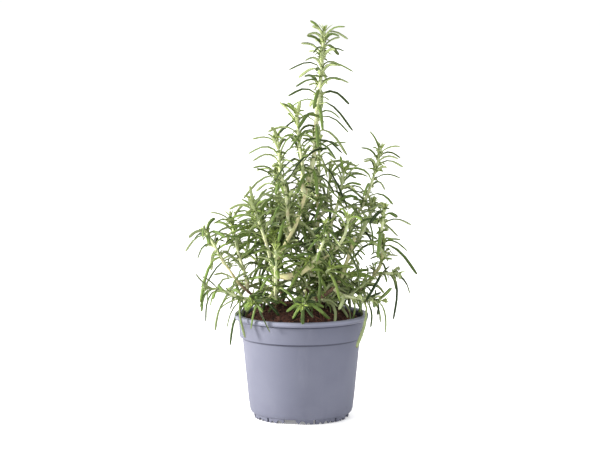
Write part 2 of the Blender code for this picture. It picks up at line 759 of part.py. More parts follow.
def main():
    clear_scene()
    material("cutter", (1, 0, 0), 0.5)
    grey_plastic = material("grey_plastic", (0.30, 0.32, 0.38), 0.4)
    peat = material("peat", (0.07, 0.035, 0.02), 0.95)
    bark = material("bark", (0.42, 0.36, 0.20), 0.8)
    foliage = material("foliage", (0.13, 0.22, 0.07), 0.6)

    stems = woody_stems()
    space = Space()
    for stem in stems:
        space.fill(stem.beads(), max(stem.radii), stem.name)
    shoots = named_shoots(stems)
    for shoot in shoots:
        space.fill(shoot.beads(), SHOOT_WIDTH * 0.7, shoot.name)
    for number in range(SIDE_SHOOT_COUNT):
        shoot = side_shoot(number, stems, space)
        space.fill(shoot.beads(), SHOOT_WIDTH * 0.7, shoot.name)
        shoots.append(shoot)
    for shoot in shoots:
        shoot.grow(space)

    make_pot(grey_plastic)
    make_compost(stems, peat)
    for stem in stems:
        stem.make(bark)
    for shoot in shoots:
        shoot.make(foliage)


main()
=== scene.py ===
"""A potted rosemary: plastic pot, compost, woody stems and leafy shoots, dressed for its picture."""

import json
import logging
import math
import random
from dataclasses import dataclass, field
from enum import Enum
from typing import Any, ClassVar, Iterable, Sequence

import bmesh
import bpy
import numpy as np
from mathutils import Matrix, Vector, noise

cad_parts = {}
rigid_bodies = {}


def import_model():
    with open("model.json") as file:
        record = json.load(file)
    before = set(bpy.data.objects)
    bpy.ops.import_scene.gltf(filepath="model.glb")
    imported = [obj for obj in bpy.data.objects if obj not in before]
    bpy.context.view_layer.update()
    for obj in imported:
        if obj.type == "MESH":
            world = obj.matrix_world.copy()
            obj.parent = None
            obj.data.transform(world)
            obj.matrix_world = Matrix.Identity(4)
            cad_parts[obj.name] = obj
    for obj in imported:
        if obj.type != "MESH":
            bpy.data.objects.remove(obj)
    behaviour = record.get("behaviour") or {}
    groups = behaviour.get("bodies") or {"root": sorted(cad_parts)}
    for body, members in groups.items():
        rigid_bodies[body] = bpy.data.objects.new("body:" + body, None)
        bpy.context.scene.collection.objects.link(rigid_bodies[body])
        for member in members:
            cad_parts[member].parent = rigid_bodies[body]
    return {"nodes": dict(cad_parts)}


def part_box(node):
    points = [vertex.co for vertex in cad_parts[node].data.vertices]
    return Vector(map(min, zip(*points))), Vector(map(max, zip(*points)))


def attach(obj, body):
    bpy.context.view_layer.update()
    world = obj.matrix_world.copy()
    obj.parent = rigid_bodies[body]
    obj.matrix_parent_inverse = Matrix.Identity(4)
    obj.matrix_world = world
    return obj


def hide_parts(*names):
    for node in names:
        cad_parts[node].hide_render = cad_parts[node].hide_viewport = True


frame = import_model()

LOG = logging.getLogger("rosemary")
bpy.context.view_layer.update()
MM = 0.001
Colour = tuple[float, float, float]

# How often a stem bears a leafy spur on a side, and which stems end in a pruned stub.
BARE_STEM_SPURS = 0.32
LEAFY_STEM_SPURS = 0.5
PRUNED_STEMS = ("right_stem", "far_right_stem")


# ---------------------------------------------------------------- node trees


class Value:
    """A number that flows through a node tree and is joined with the usual operators."""

    def __init__(self, graph: "Graph", socket: bpy.types.NodeSocket) -> None:
        """Wraps one output socket of the graph."""
        self.graph = graph
        self.socket = socket

    def maths(self, operation: str, *terms: Any) -> "Value":
        """One maths node.

        Args:
            operation: the node's operation.
            terms: its inputs in order, each a Value or a number.

        Returns:
            The node's result.
        """
        return self.graph.node("ShaderNodeMath", {"operation": operation}, dict(enumerate(terms)))

    def __add__(self, other: Any) -> "Value":
        """The sum of both."""
        return self.maths("ADD", self, other)

    def __radd__(self, other: float) -> "Value":
        """The sum, with the number first."""
        return self.maths("ADD", other, self)

    def __sub__(self, other: Any) -> "Value":
        """The difference of both."""
        return self.maths("SUBTRACT", self, other)

    def __rsub__(self, other: float) -> "Value":
        """The difference, with the number first."""
        return self.maths("SUBTRACT", other, self)

    def __mul__(self, other: Any) -> "Value":
        """The product of both."""
        return self.maths("MULTIPLY", self, other)

    def __rmul__(self, other: float) -> "Value":
        """The product, with the number first."""
        return self.maths("MULTIPLY", other, self)

    def __truediv__(self, other: Any) -> "Value":
        """The quotient of both."""
        return self.maths("DIVIDE", self, other)

    def __pow__(self, other: Any) -> "Value":
        """This value raised to a power."""
        return self.maths("POWER", self, other)

    def __abs__(self) -> "Value":
        """The value without its sign."""
        return self.maths("ABSOLUTE", self)

    def step(self, low: float, high: float) -> "Value":
        """A soft step from 0 at low to 1 at high."""
        return self.graph.node(
            "ShaderNodeMapRange",
            {"interpolation_type": "SMOOTHSTEP"},
            {"Value": self, "From Min": low, "From Max": high},
        )


class Graph:
    """A node tree being written. Every node comes from its one method, node()."""

    def __init__(self, tree: bpy.types.NodeTree) -> None:
        """Starts writing on the tree."""
        self.tree = tree

    def node(
        self, kind: str, settings: dict[str, Any] | None = None, inputs: dict[Any, Any] | None = None,
        output: int | str = 0,
    ) -> Value:
        """Adds a node.

        Args:
            kind: the node's type.
            settings: properties, set before anything else.
            inputs: input values or Values, by input name or number.
            output: the output that is wanted.

        Returns:
            That output, wrapped.
        """
        made = self.tree.nodes.new(kind)
        for name, setting in (settings or {}).items():
            setattr(made, name, setting)
        for name, given in (inputs or {}).items():
            if isinstance(given, Value):
                self.tree.links.new(given.socket, made.inputs[name])
            else:
                made.inputs[name].default_value = given
        return Value(self, made.outputs[output]) if len(made.outputs) else Value(self, None)

    def other(self, value: Value, output: int | str) -> Value:
        """Another output of the node that a value comes from."""
        return Value(self, value.socket.node.outputs[output])

    def mix(self, share: Any, low: Any, high: Any, blend: str = "MIX") -> Value:
        """A colour between two.

        Args:
            share: 0 for the first colour and 1 for the second.
            low: the first colour.
            high: the second colour.
            blend: how the second goes onto the first.

        Returns:
            The mixed colour.
        """
        inputs = {
            n: (*c, 1.0) if isinstance(c, tuple) else c for n, c in ((0, share), (6, low), (7, high))
        }
        return self.node("ShaderNodeMix", {"data_type": "RGBA", "blend_type": blend}, inputs, 2)

    def attribute(self, name: str) -> Value:
        """A number stored on the mesh, read by a material."""
        return self.node("ShaderNodeAttribute", {"attribute_name": name}, output="Fac")

    def place(self, stretch: Sequence[float] = (1, 1, 1)) -> Value:
        """The object's own coordinates in metres, stretched."""
        spot = self.node("ShaderNodeTexCoord", output="Object")
        return self.node("ShaderNodeMapping", {}, {"Vector": spot, "Scale": tuple(stretch)})

    def grain(self, scale: float, detail: float = 3.0, spot: Value | None = None, **more: float) -> Value:
        """Noise between 0 and 1.

        Args:
            scale: how many features fit in a metre.
            detail: how many finer layers it has.
            spot: where it is read, the object's coordinates if nothing is given.
            more: any other input of the noise.

        Returns:
            The noise value.
        """
        inputs = {"Vector": spot or self.place(), "Scale": scale, "Detail": detail, **more}
        return self.node("ShaderNodeTexNoise", {}, inputs)

    def height(self, depth: float, relief: Value, strength: float = 1.0) -> Value:
        """A normal bumped by a relief.

        Args:
            depth: how far full relief stands out, in metres.
            relief: the relief, between 0 and 1.
            strength: how strongly it shows.

        Returns:
            The normal.
        """
        inputs = {"Strength": strength, "Distance": depth, "Height": relief}
        return self.node("ShaderNodeBump", {}, inputs)


# ------------------------------------------------------------------ finishes


class Finish:
    """What every finish shares: its name, and how its surface is made from what it paints."""

    label: ClassVar[str] = "finish"

    def paint(self, graph: Graph) -> dict[str, Any]:
        """The surface's inputs, by name."""
        raise NotImplementedError

    def material(self) -> bpy.types.Material:
        """The finish's material, made once."""
        made = bpy.data.materials.get(self.label)
        if made is None:
            made = bpy.data.materials.new(self.label)
            made.use_nodes = True
            made.node_tree.nodes.clear()
            graph = Graph(made.node_tree)
            skin = graph.node("ShaderNodeBsdfPrincipled", {}, self.paint(graph))
            graph.node("ShaderNodeOutputMaterial", {}, {"Surface": skin})
        return made


@dataclass(frozen=True)
class PotPlastic(Finish):
    """Thin grey-lilac moulded plastic with a dull shine and the odd scuff.

    Args:
        body: the plastic's own colour.
        scuffed: where it is rubbed.
        grimy: where soil has dried on it.
        rim_highlight: a painted highlight, the rim's paler top.
        overhang_shade: painted shade, the dark line under an overhang.
        shade_bands: the heights, lowest to highest, over which each dark line of painted shade comes and
            goes.
        rim: the heights over which the painted highlight on the rim's top begins.
        splashed: the heights over which the grime near the foot ends.
    """

    label: ClassVar[str] = "dull_plastic"
    body: Colour = (0.114, 0.120, 0.164)
    scuffed: Colour = (0.168, 0.174, 0.222)
    grimy: Colour = (0.095, 0.098, 0.140)
    rim_highlight: Colour = (0.215, 0.225, 0.290)
    overhang_shade: Colour = (0.038, 0.040, 0.060)
    shade_bands: tuple[tuple[float, float, float, float], ...] = (
        (76.6 * MM, 77.6 * MM, 78.8 * MM, 79.6 * MM), (94.8 * MM, 95.4 * MM, 96.2 * MM, 96.8 * MM),
    )
    rim: tuple[float, float] = (97.2 * MM, 99.0 * MM)
    splashed: tuple[float, float] = (4 * MM, 30 * MM)

    def paint(self, graph: Graph) -> dict[str, Any]:
        """Plastic with faint clouds, upright scuffs, splashes of grime low down, painted shade in lines under
        the overhangs and a painted highlight along the rim's top.
        """
        clouds = graph.grain(18, 4)
        scuffs = graph.grain(60, 6, graph.place((1, 1, 0.16)), Roughness=0.62).step(0.56, 0.74)
        spots = graph.grain(420, 2).step(0.66, 0.76)
        level = graph.node("ShaderNodeSeparateXYZ", {}, {0: graph.place()}, 2)
        splashes = (1 - level.step(*self.splashed)) * graph.grain(90, 4).step(0.45, 0.65)
        colour = graph.mix(clouds.step(0.35, 0.7) * 0.30, self.body, self.scuffed)
        colour = graph.mix(scuffs * 0.22, colour, self.scuffed)
        colour = graph.mix(spots * 0.16 + splashes * 0.30, colour, self.grimy)
        relief = graph.grain(900, 2) * 0.5 + graph.grain(34, 2) * 0.5
        # Painted shade: dark lines at the collar's step and under the lip, where the overhangs are in shade.
        step, groove = (level.step(a, b) * (1 - level.step(c, d)) for a, b, c, d in self.shade_bands)
        colour = graph.mix((step + groove) * 0.75, colour, self.overhang_shade)
        # Painted highlight: a paler band along the rim's top.
        colour = graph.mix(level.step(*self.rim) * 0.55, colour, self.rim_highlight)
        return {
            "Base Color": colour,
            "Roughness": 0.52 + scuffs * 0.12 + clouds * 0.10 - level.step(0.096, 0.098) * 0.24,
            "Normal": graph.height(0.00018, relief, 0.35),
            "Specular IOR Level": 0.12,
        }


@dataclass(frozen=True)
class Peat(Finish):
    """Damp fibrous compost, maroon-brown with paler crumbs."""

    label: ClassVar[str] = "peat"
    deep: Colour = (0.016, 0.007, 0.005)
    damp: Colour = (0.066, 0.026, 0.018)
    dry: Colour = (0.150, 0.062, 0.044)

    def paint(self, graph: Graph) -> dict[str, Any]:
        """Crumbs of three browns with a rough relief."""
        coarse = graph.grain(240, 5, Roughness=0.7)
        fine = graph.grain(1500, 3)
        colour = graph.mix(coarse.step(0.38, 0.58), self.deep, self.damp)
        colour = graph.mix((coarse * 0.4 + fine * 0.6).step(0.52, 0.72), colour, self.dry)
        relief = coarse * 0.6 + fine * 0.4
        return {
            "Base Color": colour,
            "Roughness": 0.82 + fine * 0.15,
            "Normal": graph.height(0.0014, relief, 0.9),
            "Specular IOR Level": 0.25,
        }


@dataclass(frozen=True)
class Litter(Finish):
    """Fibres and bark chips in the compost, from dark to straw orange."""

    label: ClassVar[str] = "peat_litter"
    dark: Colour = (0.052, 0.022, 0.015)
    straw: Colour = (0.24, 0.108, 0.060)

    def paint(self, graph: Graph) -> dict[str, Any]:
        """Each fibre has its own shade, streaked along it."""
        shade = graph.attribute("tint")
        streaks = graph.grain(1100, 3)
        colour = graph.mix((shade * 0.8 + streaks * 0.4 - 0.1).step(0.25, 0.95), self.dark, self.straw)
        return {
            "Base Color": colour,
            "Roughness": 0.70 + streaks * 0.2,
            "Normal": graph.height(0.0004, streaks, 0.6),
            "Specular IOR Level": 0.3,
        }


@dataclass(frozen=True)
class Bark(Finish):
    """Woody stem: cracked brown bark below that turns to pale cream-green skin."""

    label: ClassVar[str] = "stem_bark"
    crack: Colour = (0.055, 0.030, 0.018)
    brown: Colour = (0.190, 0.115, 0.066)
    cream: Colour = (0.54, 0.49, 0.28)
    green: Colour = (0.38, 0.40, 0.19)

    def paint(self, graph: Graph) -> dict[str, Any]:
        """Cracks along the stem fade out as the skin gets younger."""
        youth = graph.attribute("youth")
        along, around = graph.attribute("along"), graph.attribute("across")
        ring = graph.attribute("ring")
        spot = graph.node("ShaderNodeCombineXYZ", {}, {0: around * 2.2, 1: along * 0.16, 2: ring})
        cracks = graph.grain(3.2, 5, spot, Roughness=0.65)
        patches = graph.grain(110, 4)
        wood = graph.mix(cracks.step(0.38, 0.62), self.crack, self.brown)
        skin = graph.mix(patches.step(0.35, 0.65), self.cream, self.green)
        skin = graph.mix((1 - cracks.step(0.30, 0.46)) * 0.55, skin, self.brown)
        young = (youth + patches * 0.5 - 0.25).step(0.30, 0.62)
        return {
            "Base Color": graph.mix(young, wood, skin),
            "Roughness": 0.62 + cracks * 0.2,
            "Normal": graph.height(0.0005, cracks * (1.15 - youth), 0.8),
            "Specular IOR Level": 0.35,
        }


@dataclass(frozen=True)
class GreenStem(Finish):
    """Square leafy stem: pale cream-green, greener and fresher to the tip."""

    label: ClassVar[str] = "green_stem"
    cream: Colour = (0.54, 0.54, 0.34)
    green: Colour = (0.38, 0.44, 0.22)
    fresh: Colour = (0.44, 0.52, 0.27)
    blush: Colour = (0.30, 0.19, 0.10)

    def paint(self, graph: Graph) -> dict[str, Any]:
        """Cream ribs with green between them, and a brown blush near the foot."""
        youth, along, across, ring = (
            graph.attribute(n) for n in ("youth", "along", "across", "ring")
        )
        spot = graph.node("ShaderNodeCombineXYZ", {}, {0: across * 1.7, 1: along * 0.13, 2: ring})
        streaks = graph.grain(3.0, 4, spot)
        patches = graph.grain(150, 3)
        colour = graph.mix(streaks.step(0.38, 0.66), self.cream, self.green)
        colour = graph.mix(youth * 0.75, colour, self.fresh)
        colour = graph.mix((1 - youth.step(0.0, 0.35)) * patches.step(0.46, 0.66) * 0.55, colour, self.blush)
        return {
            "Base Color": colour,
            "Roughness": 0.48 + streaks * 0.2,
            "Normal": graph.height(0.00022, streaks * 0.7 + graph.grain(2600, 1) * 0.3, 0.6),
            "Specular IOR Level": 0.4,
        }


@dataclass(frozen=True)
class LeafSkin(Finish):
    """Rosemary leaf: dark green and grooved above, pale and downy below, fresh at the tips."""

    label: ClassVar[str] = "leaf_skin"
    dark: Colour = (0.009, 0.022, 0.005)
    mid: Colour = (0.100, 0.156, 0.034)
    fresh: Colour = (0.230, 0.305, 0.066)
    under: Colour = (0.300, 0.345, 0.180)
    under_fresh: Colour = (0.37, 0.43, 0.17)
    rib: Colour = (0.25, 0.32, 0.12)
    dry: Colour = (0.085, 0.062, 0.030)

    def paint(self, graph: Graph) -> dict[str, Any]:
        """Each leaf has its own shade; margins and rib are paler and the point is dull."""
        upper, youth, tint, along, across = (
            graph.attribute(n) for n in ("upper", "youth", "tint", "along", "across")
        )
        side = abs(across)
        mottle = graph.grain(260, 4)
        pores = graph.grain(3400, 2)
        top = graph.mix((tint * 0.95 + mottle * 0.35 - 0.14).step(0.12, 0.90), self.dark, self.mid)
        top = graph.mix(youth, top, self.fresh)
        top = graph.mix((1 - side.step(0.03, 0.20)) * 0.30, top, self.rib)
        below = graph.mix(youth, self.under, self.under_fresh)
        below = graph.mix(side.step(0.16, 0.50) * mottle * 0.55, below, self.mid)
        colour = graph.mix(upper.step(-0.30, 0.16), below, top)
        colour = graph.mix((1 - along.step(0.0, 0.34)) * 0.85, colour, self.under_fresh)
        colour = graph.mix(along.step(0.95, 1.0) * (1 - youth) * 0.6, colour, self.dry)
        colour = graph.mix(pores.step(0.58, 0.70) * 0.08, colour, self.rib)
        relief = pores * 0.45 + side.step(0.0, 0.22) * 0.55
        return {
            "Base Color": colour,
            "Roughness": 0.58 - upper.step(-0.2, 0.2) * 0.27 + mottle * 0.10,
            "Normal": graph.height(0.00016, relief, 0.55),
            "Specular IOR Level": 0.12,
            "Subsurface Weight": 0.06,
            "Subsurface Scale": 0.0008,
            "Subsurface Radius": (0.6, 1.0, 0.25),
        }


@dataclass(frozen=True)
class Sweepings(Finish):
    """The pale studio floor."""

    label: ClassVar[str] = "studio_floor"
    pale: Colour = (0.96, 0.96, 0.96)
    paler: Colour = (0.98, 0.98, 0.98)
    glow: float = 0.24

    def paint(self, graph: Graph) -> dict[str, Any]:
        """Almost even white."""
        return {"Base Color": graph.mix(graph.grain(3, 2), self.pale, self.paler), "Roughness": 0.9,
                "Specular IOR Level": 0.0, "Emission Color": (1, 1, 1, 1), "Emission Strength": self.glow}


# ------------------------------------------------------------- swept shapes


@dataclass
class Strand:
    """A line to be given a skin, with what the sweep and the finish read at each point.

    Args:
        points: the line, root first.
        ups: the direction that the section's first axis takes at each point.
        half_widths: half of the section's width at each point.
        youth: 0 for old growth and 1 for the newest, at each point.
        tint: the strand's own shade, between 0 and 1.
        in_millimetres: whether `along` counts millimetres rather than the share of the length.
    """

    points: list[Vector]
    ups: list[Vector]
    half_widths: list[float]
    youth: list[float]
    tint: float = 0.5
    in_millimetres: bool = False

    def along(self) -> list[float]:
        """How far along the strand each point is."""
        reach = [0.0]
        for before, after in zip(self.points, self.points[1:]):
            reach.append(reach[-1] + (after - before).length)
        scale = MM if self.in_millimetres else max(reach[-1], 1e-9)
        return [r / scale for r in reach]


def line_mesh(name: str, strands: Sequence[Strand]) -> bpy.types.Mesh:
    """A mesh of loose lines that carries the strands' values.

    Args:
        name: the mesh's name.
        strands: what it holds.

    Returns:
        The mesh.
    """
    points, edges = [], []
    for strand in strands:
        first = len(points)
        points += strand.points
        edges += [(first + i, first + i + 1) for i in range(len(strand.points) - 1)]
    mesh = bpy.data.meshes.new(name)
    mesh.from_pydata(points, edges, [])
    numbers = {
        "half_width": [w for s in strands for w in s.half_widths],
        "youth": [y for s in strands for y in s.youth],
        "tint": [s.tint for s in strands for _ in s.points],
        "along": [a for s in strands for a in s.along()],
    }
    for label, numbers_of in numbers.items():
        mesh.attributes.new(label, "FLOAT", "POINT").data.foreach_set("value", numbers_of)
    ups = [c for s in strands for up in s.ups for c in up]
    mesh.attributes.new("up", "FLOAT_VECTOR", "POINT").data.foreach_set("vector", ups)
    return mesh


class Tool:
    """A geometry-nodes tree with named inputs that is run once on a mesh and leaves a plain mesh."""

    label: ClassVar[str] = "tool"
    sockets: ClassVar[dict[str, str]] = {}

    def __init__(self) -> None:
        """Builds the tree."""
        self.tree = bpy.data.node_groups.new(self.label, "GeometryNodeTree")
        face = self.tree.interface
        face.new_socket("Geometry", in_out="INPUT", socket_type="NodeSocketGeometry")
        for name, kind in {**self.sockets, "Material": "NodeSocketMaterial"}.items():
            face.new_socket(name, in_out="INPUT", socket_type=kind)
        face.new_socket("Geometry", in_out="OUTPUT", socket_type="NodeSocketGeometry")
        self.graph = Graph(self.tree)
        self.entry = self.tree.nodes.new("NodeGroupInput")
        shape = self.graph.node("GeometryNodeRealizeInstances", {}, {"Geometry": self.write()})
        shape = self.graph.node(
            "GeometryNodeSetMaterial", {}, {"Geometry": shape, "Material": self.given("Material")}
        )
        self.graph.node("NodeGroupOutput", {}, {0: shape})

    def given(self, name: str) -> Value:
        """One of the tree's inputs."""
        return Value(self.graph, self.entry.outputs[name])

    def write(self) -> Value:
        """Writes the tree's nodes and gives the shape."""
        raise NotImplementedError

    def named(self, name: str, kind: str = "FLOAT") -> Value:
        """A value stored on the geometry."""
        return self.graph.node("GeometryNodeInputNamedAttribute", {"data_type": kind}, {"Name": name})

    def store(self, shape: Value, name: str, value: Value) -> Value:
        """Stores a number on each point of the shape."""
        return self.graph.node(
            "GeometryNodeStoreNamedAttribute", {"data_type": "FLOAT", "domain": "POINT"},
            {"Geometry": shape, "Name": name, "Value": value},
        )

    def moved(self, shape: Value, **inputs: Value) -> Value:
        """The shape with its points set or offset."""
        return self.graph.node("GeometryNodeSetPosition", {}, {"Geometry": shape, **inputs})

    def run(self, name: str, source: bpy.types.Mesh, finish: Finish, **inputs: Any) -> bpy.types.Object:
        """Runs the tree on a mesh.

        Args:
            name: the new object's name.
            source: the mesh that it starts from.
            finish: the finish of what it makes.
            inputs: the tree's inputs, with _ for a space.

        Returns:
            The object, with a plain mesh and no modifier.
        """
        holder = bpy.data.objects.new(name, source)
        bpy.context.scene.collection.objects.link(holder)
        modifier = holder.modifiers.new(self.label, "NODES")
        modifier.node_group = self.tree
        values = {key.replace("_", " "): value for key, value in inputs.items()}
        values["Material"] = finish.material()
        for item in self.tree.interface.items_tree:
            if item.in_out == "INPUT" and item.name in values:
                modifier[item.identifier] = values[item.name]
        seen = holder.evaluated_get(bpy.context.evaluated_depsgraph_get())
        mesh = bpy.data.meshes.new_from_object(seen)
        holder.modifiers.clear()
        holder.data = mesh
        mesh.name = name
        bpy.data.meshes.remove(source)
        for spare in ("up", "half_width"):
            if spare in mesh.attributes:
                mesh.attributes.remove(mesh.attributes[spare])
        return dressed(holder, finish)


def dressed(holder: bpy.types.Object, finish: Finish) -> bpy.types.Object:
    """Gives an object one finish and smooth shading."""
    holder.data.materials.clear()
    holder.data.materials.append(finish.material())
    holder.data.polygons.foreach_set("material_index", [0] * len(holder.data.polygons))
    holder.data.polygons.foreach_set("use_smooth", [True] * len(holder.data.polygons))
    return holder


class Sweep(Tool):
    """What both sweeps share: lines become curves that a section follows."""

    def section(self) -> tuple[Value, Value, Value]:
        """A round section that remembers where on it each point is.

        Returns:
            The section and its two coordinates, the first towards `up`.
        """
        circle = self.graph.node(
            "GeometryNodeCurvePrimitiveCircle", {}, {"Resolution": self.given("Sides"), "Radius": 1.0}
        )
        spot = self.graph.node("GeometryNodeInputPosition")
        apart = self.graph.node("ShaderNodeSeparateXYZ", {}, {0: spot})
        height, width = apart, self.graph.other(apart, 1)
        circle = self.store(circle, "across", width)
        return self.store(circle, "ring", height), self.named("ring"), self.named("across")

    def shaped(self, section: Value, height: Value, width: Value) -> Value:
        """The section with its points put at a new height and width."""
        spot = self.graph.node("ShaderNodeCombineXYZ", {}, {0: height, 1: width})
        return self.moved(section, Position=spot)

    def skin(self, section: Value) -> Value:
        """The closed skin of the section along every line."""
        graph = self.graph
        lines = graph.node("GeometryNodeMeshToCurve", {}, {"Mesh": self.given("Geometry")})
        lines = graph.node(
            "GeometryNodeSetCurveNormal", {"mode": "FREE"},
            {"Curve": lines, "Normal": self.named("up", "FLOAT_VECTOR")},
        )
        return graph.node(
            "GeometryNodeCurveToMesh", {},
            {"Curve": lines, "Profile Curve": section, "Scale": self.named("half_width"), "Fill Caps": True},
        )


class BladeSweep(Sweep):
    """Skins leaf blades: grooved down the middle, with margins that roll under."""

    label = "blade_sweep"
    sockets = {
        "Sides": "NodeSocketInt", "Thickness": "NodeSocketFloat",
        "Groove": "NodeSocketFloat", "Roll": "NodeSocketFloat",
    }

    def write(self) -> Value:
        """Section, sweep, then which way each point faces."""
        circle, height, width = self.section()
        square = width * width
        lifted = self.given("Thickness") * height * (1 - self.given("Groove") * (1 - square))
        shape = self.skin(self.shaped(circle, lifted - self.given("Roll") * square, width))
        facing = self.graph.node(
            "ShaderNodeVectorMath", {"operation": "DOT_PRODUCT"},
            {0: self.graph.node("GeometryNodeInputNormal"), 1: self.named("up", "FLOAT_VECTOR")}, "Value",
        )
        return self.store(shape, "upper", facing)


class StemSweep(Sweep):
    """Skins stems: from round to ridged square, with bark that breaks the surface."""

    label = "stem_sweep"
    sockets = {
        "Sides": "NodeSocketInt", "Ridge": "NodeSocketFloat",
        "Bark Depth": "NodeSocketFloat", "Bark Length": "NodeSocketFloat",
    }

    def write(self) -> Value:
        """Section, sweep, then bark pushed out along the normals."""
        graph = self.graph
        circle, height, width = self.section()
        corner = height * width * 2
        swell = 1 + self.given("Ridge") * (corner * corner - 0.35)
        shape = self.skin(self.shaped(circle, height * swell, width * swell))
        along = self.named("along") / self.given("Bark Length")
        spot = graph.node(
            "ShaderNodeCombineXYZ", {}, {0: self.named("ring"), 1: self.named("across"), 2: along}
        )
        rough = graph.node("ShaderNodeTexNoise", {}, {"Vector": spot, "Scale": 1.6, "Detail": 3.0})
        push = self.given("Bark Depth") * (rough - 0.5) * 2
        normal = graph.node("GeometryNodeInputNormal")
        offset = graph.node("ShaderNodeVectorMath", {"operation": "SCALE"}, {0: normal, "Scale": push})
        return self.moved(shape, Offset=offset)


class Crumbler(Tool):
    """Scatters lumps over a surface, each turned, sized and dented in its own way."""

    label = "crumbler"
    sockets = {
        "Density": "NodeSocketFloat", "Smallest": "NodeSocketVector", "Largest": "NodeSocketVector",
        "Seed": "NodeSocketInt", "Dents": "NodeSocketFloat",
    }

    def write(self) -> Value:
        """Points on the faces, a lump at each, then dents and a shade for each lump."""
        graph = self.graph
        seed = self.given("Seed")
        points = graph.node(
            "GeometryNodeDistributePointsOnFaces", {},
            {"Mesh": self.given("Geometry"), "Density": self.given("Density"), "Seed": seed},
        )
        turn = graph.node(
            "FunctionNodeRandomValue", {"data_type": "FLOAT_VECTOR"},
            {0: (0.0, 0.0, 0.0), 1: (6.28, 6.28, 6.28), "Seed": seed},
        )
        size = graph.node(
            "FunctionNodeRandomValue", {"data_type": "FLOAT_VECTOR"},
            {0: self.given("Smallest"), 1: self.given("Largest"), "Seed": seed + 3},
        )
        shade = graph.node("FunctionNodeRandomValue", {"data_type": "FLOAT"}, {"Seed": seed + 7}, 1)
        points = self.store(points, "tint", shade)
        lump = graph.node("GeometryNodeMeshIcoSphere", {}, {"Radius": 1.0, "Subdivisions": 1})
        lumps = graph.node(
            "GeometryNodeInstanceOnPoints", {},
            {"Points": points, "Instance": lump, "Rotation": turn, "Scale": size},
        )
        shape = graph.node("GeometryNodeRealizeInstances", {}, {"Geometry": lumps})
        dent = graph.node("ShaderNodeTexNoise", {}, {"Scale": 700.0, "Detail": 1.0}, "Color")
        dent = graph.node("ShaderNodeVectorMath", {"operation": "SUBTRACT"}, {0: dent, 1: (0.5, 0.5, 0.5)})
        offset = graph.node(
            "ShaderNodeVectorMath", {"operation": "SCALE"}, {0: dent, "Scale": self.given("Dents")}
        )
        return self.moved(shape, Offset=offset)


@dataclass
class Toolbox:
    """The trees that the sub-assemblies share, each built once."""

    blades: BladeSweep = field(default_factory=BladeSweep)
    stems: StemSweep = field(default_factory=StemSweep)
    crumbs: Crumbler = field(default_factory=Crumbler)


# ------------------------------------------------------------------- helpers


def fitted(holder: bpy.types.Object, slot: str, *nodes: str) -> bpy.types.Object:
    """Puts a finished piece on the model.

    Args:
        holder: the piece.
        slot: a material slot's name; not used.
        nodes: the solids that it stands for.

    Returns:
        The piece.
    """
    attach(holder, "root")
    if nodes:
        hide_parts(*nodes)
    LOG.info("%s: %d faces", holder.name, len(holder.data.polygons))
    return holder


def solid(name: str, shape: bmesh.types.BMesh, finish: Finish) -> bpy.types.Object:
    """An object from a bmesh, facing outward."""
    bmesh.ops.recalc_face_normals(shape, faces=shape.faces)
    mesh = bpy.data.meshes.new(name)
    shape.to_mesh(mesh)
    shape.free()
    holder = bpy.data.objects.new(name, mesh)
    bpy.context.scene.collection.objects.link(holder)
    return dressed(holder, finish)


def smooth_line(points: Sequence[Vector], step: float) -> list[Vector]:
    """A rounded line through the points.

    Args:
        points: what it passes through.
        step: the distance between the new points.

    Returns:
        The new points, ends included.
    """
    line = [points[0]]
    for i in range(len(points) - 1):
        a, b = points[i], points[i + 1]
        before = points[i - 1] if i else a * 2 - b
        after = points[i + 2] if i + 2 < len(points) else b * 2 - a
        count = max(1, round((b - a).length / step))
        for k in range(1, count + 1):
            t = k / count
            line.append(
                0.5 * (2 * a + (b - before) * t + (2 * before - 5 * a + 4 * b - after) * t**2
                       + (3 * a - before - 3 * b + after) * t**3)
            )
    return line


def lengths(points: Sequence[Vector]) -> list[float]:
    """The distance along the line of each of its points."""
    reach = [0.0]
    for before, after in zip(points, points[1:]):
        reach.append(reach[-1] + (after - before).length)
    return reach


def at_share(points: Sequence[Vector], share: float) -> Vector:
    """The point that lies this share of the way along a line."""
    reach = lengths(points)
    wanted = share * reach[-1]
    for i in range(1, len(points)):
        if reach[i] >= wanted or i == len(points) - 1:
            span = max(reach[i] - reach[i - 1], 1e-9)
            return points[i - 1].lerp(points[i], min(max((wanted - reach[i - 1]) / span, 0), 1))
    return points[-1]


def between(low: float, high: float, share: float) -> float:
    """The number that lies this share of the way from low to high."""
    return low + (high - low) * share


def upright(line: Sequence[Vector], first: Vector) -> list[Vector]:
    """Directions square to the line, carried along it without a twist.

    Args:
        line: the line.
        first: roughly the direction wanted at its first point.

    Returns:
        One unit vector for each point.
    """
    ups, held = [], first
    for i in range(len(line)):
        along = (line[min(i + 1, len(line) - 1)] - line[max(i - 1, 0)]).normalized()
        held = (held - along * held.dot(along)).normalized()
        ups.append(held)
    return ups


# ------------------------------------------------------ reading the solids


class SolidReader:
    """Reads the run of rings that a stem's solid is made of."""

    def __init__(self, node: str) -> None:
        """Joins the node's split corners and keeps its mesh."""
        self.node = node
        self.mesh = bmesh.new()
        self.mesh.from_mesh(frame["nodes"][node].data)
        bmesh.ops.remove_doubles(self.mesh, verts=self.mesh.verts, dist=1e-6)

    @staticmethod
    def around(ring: Iterable, seen: set) -> set:
        """The vertices next to a ring that aren't seen yet."""
        ring = set(ring)
        near = {e.other_vert(v) for v in ring for e in v.link_edges}
        return near - ring - seen

    def rings(self, start: set, allowed: set) -> list[set]:
        """The rings from a first one onward.

        Args:
            start: the first ring.
            allowed: the vertices that belong to the stem.

        Returns:
            Each ring's vertices.
        """
        found, seen, ring = [], set(), set(start)
        while ring:
            found.append(ring)
            seen |= ring
            ring = self.around(ring, seen) & allowed
        return found


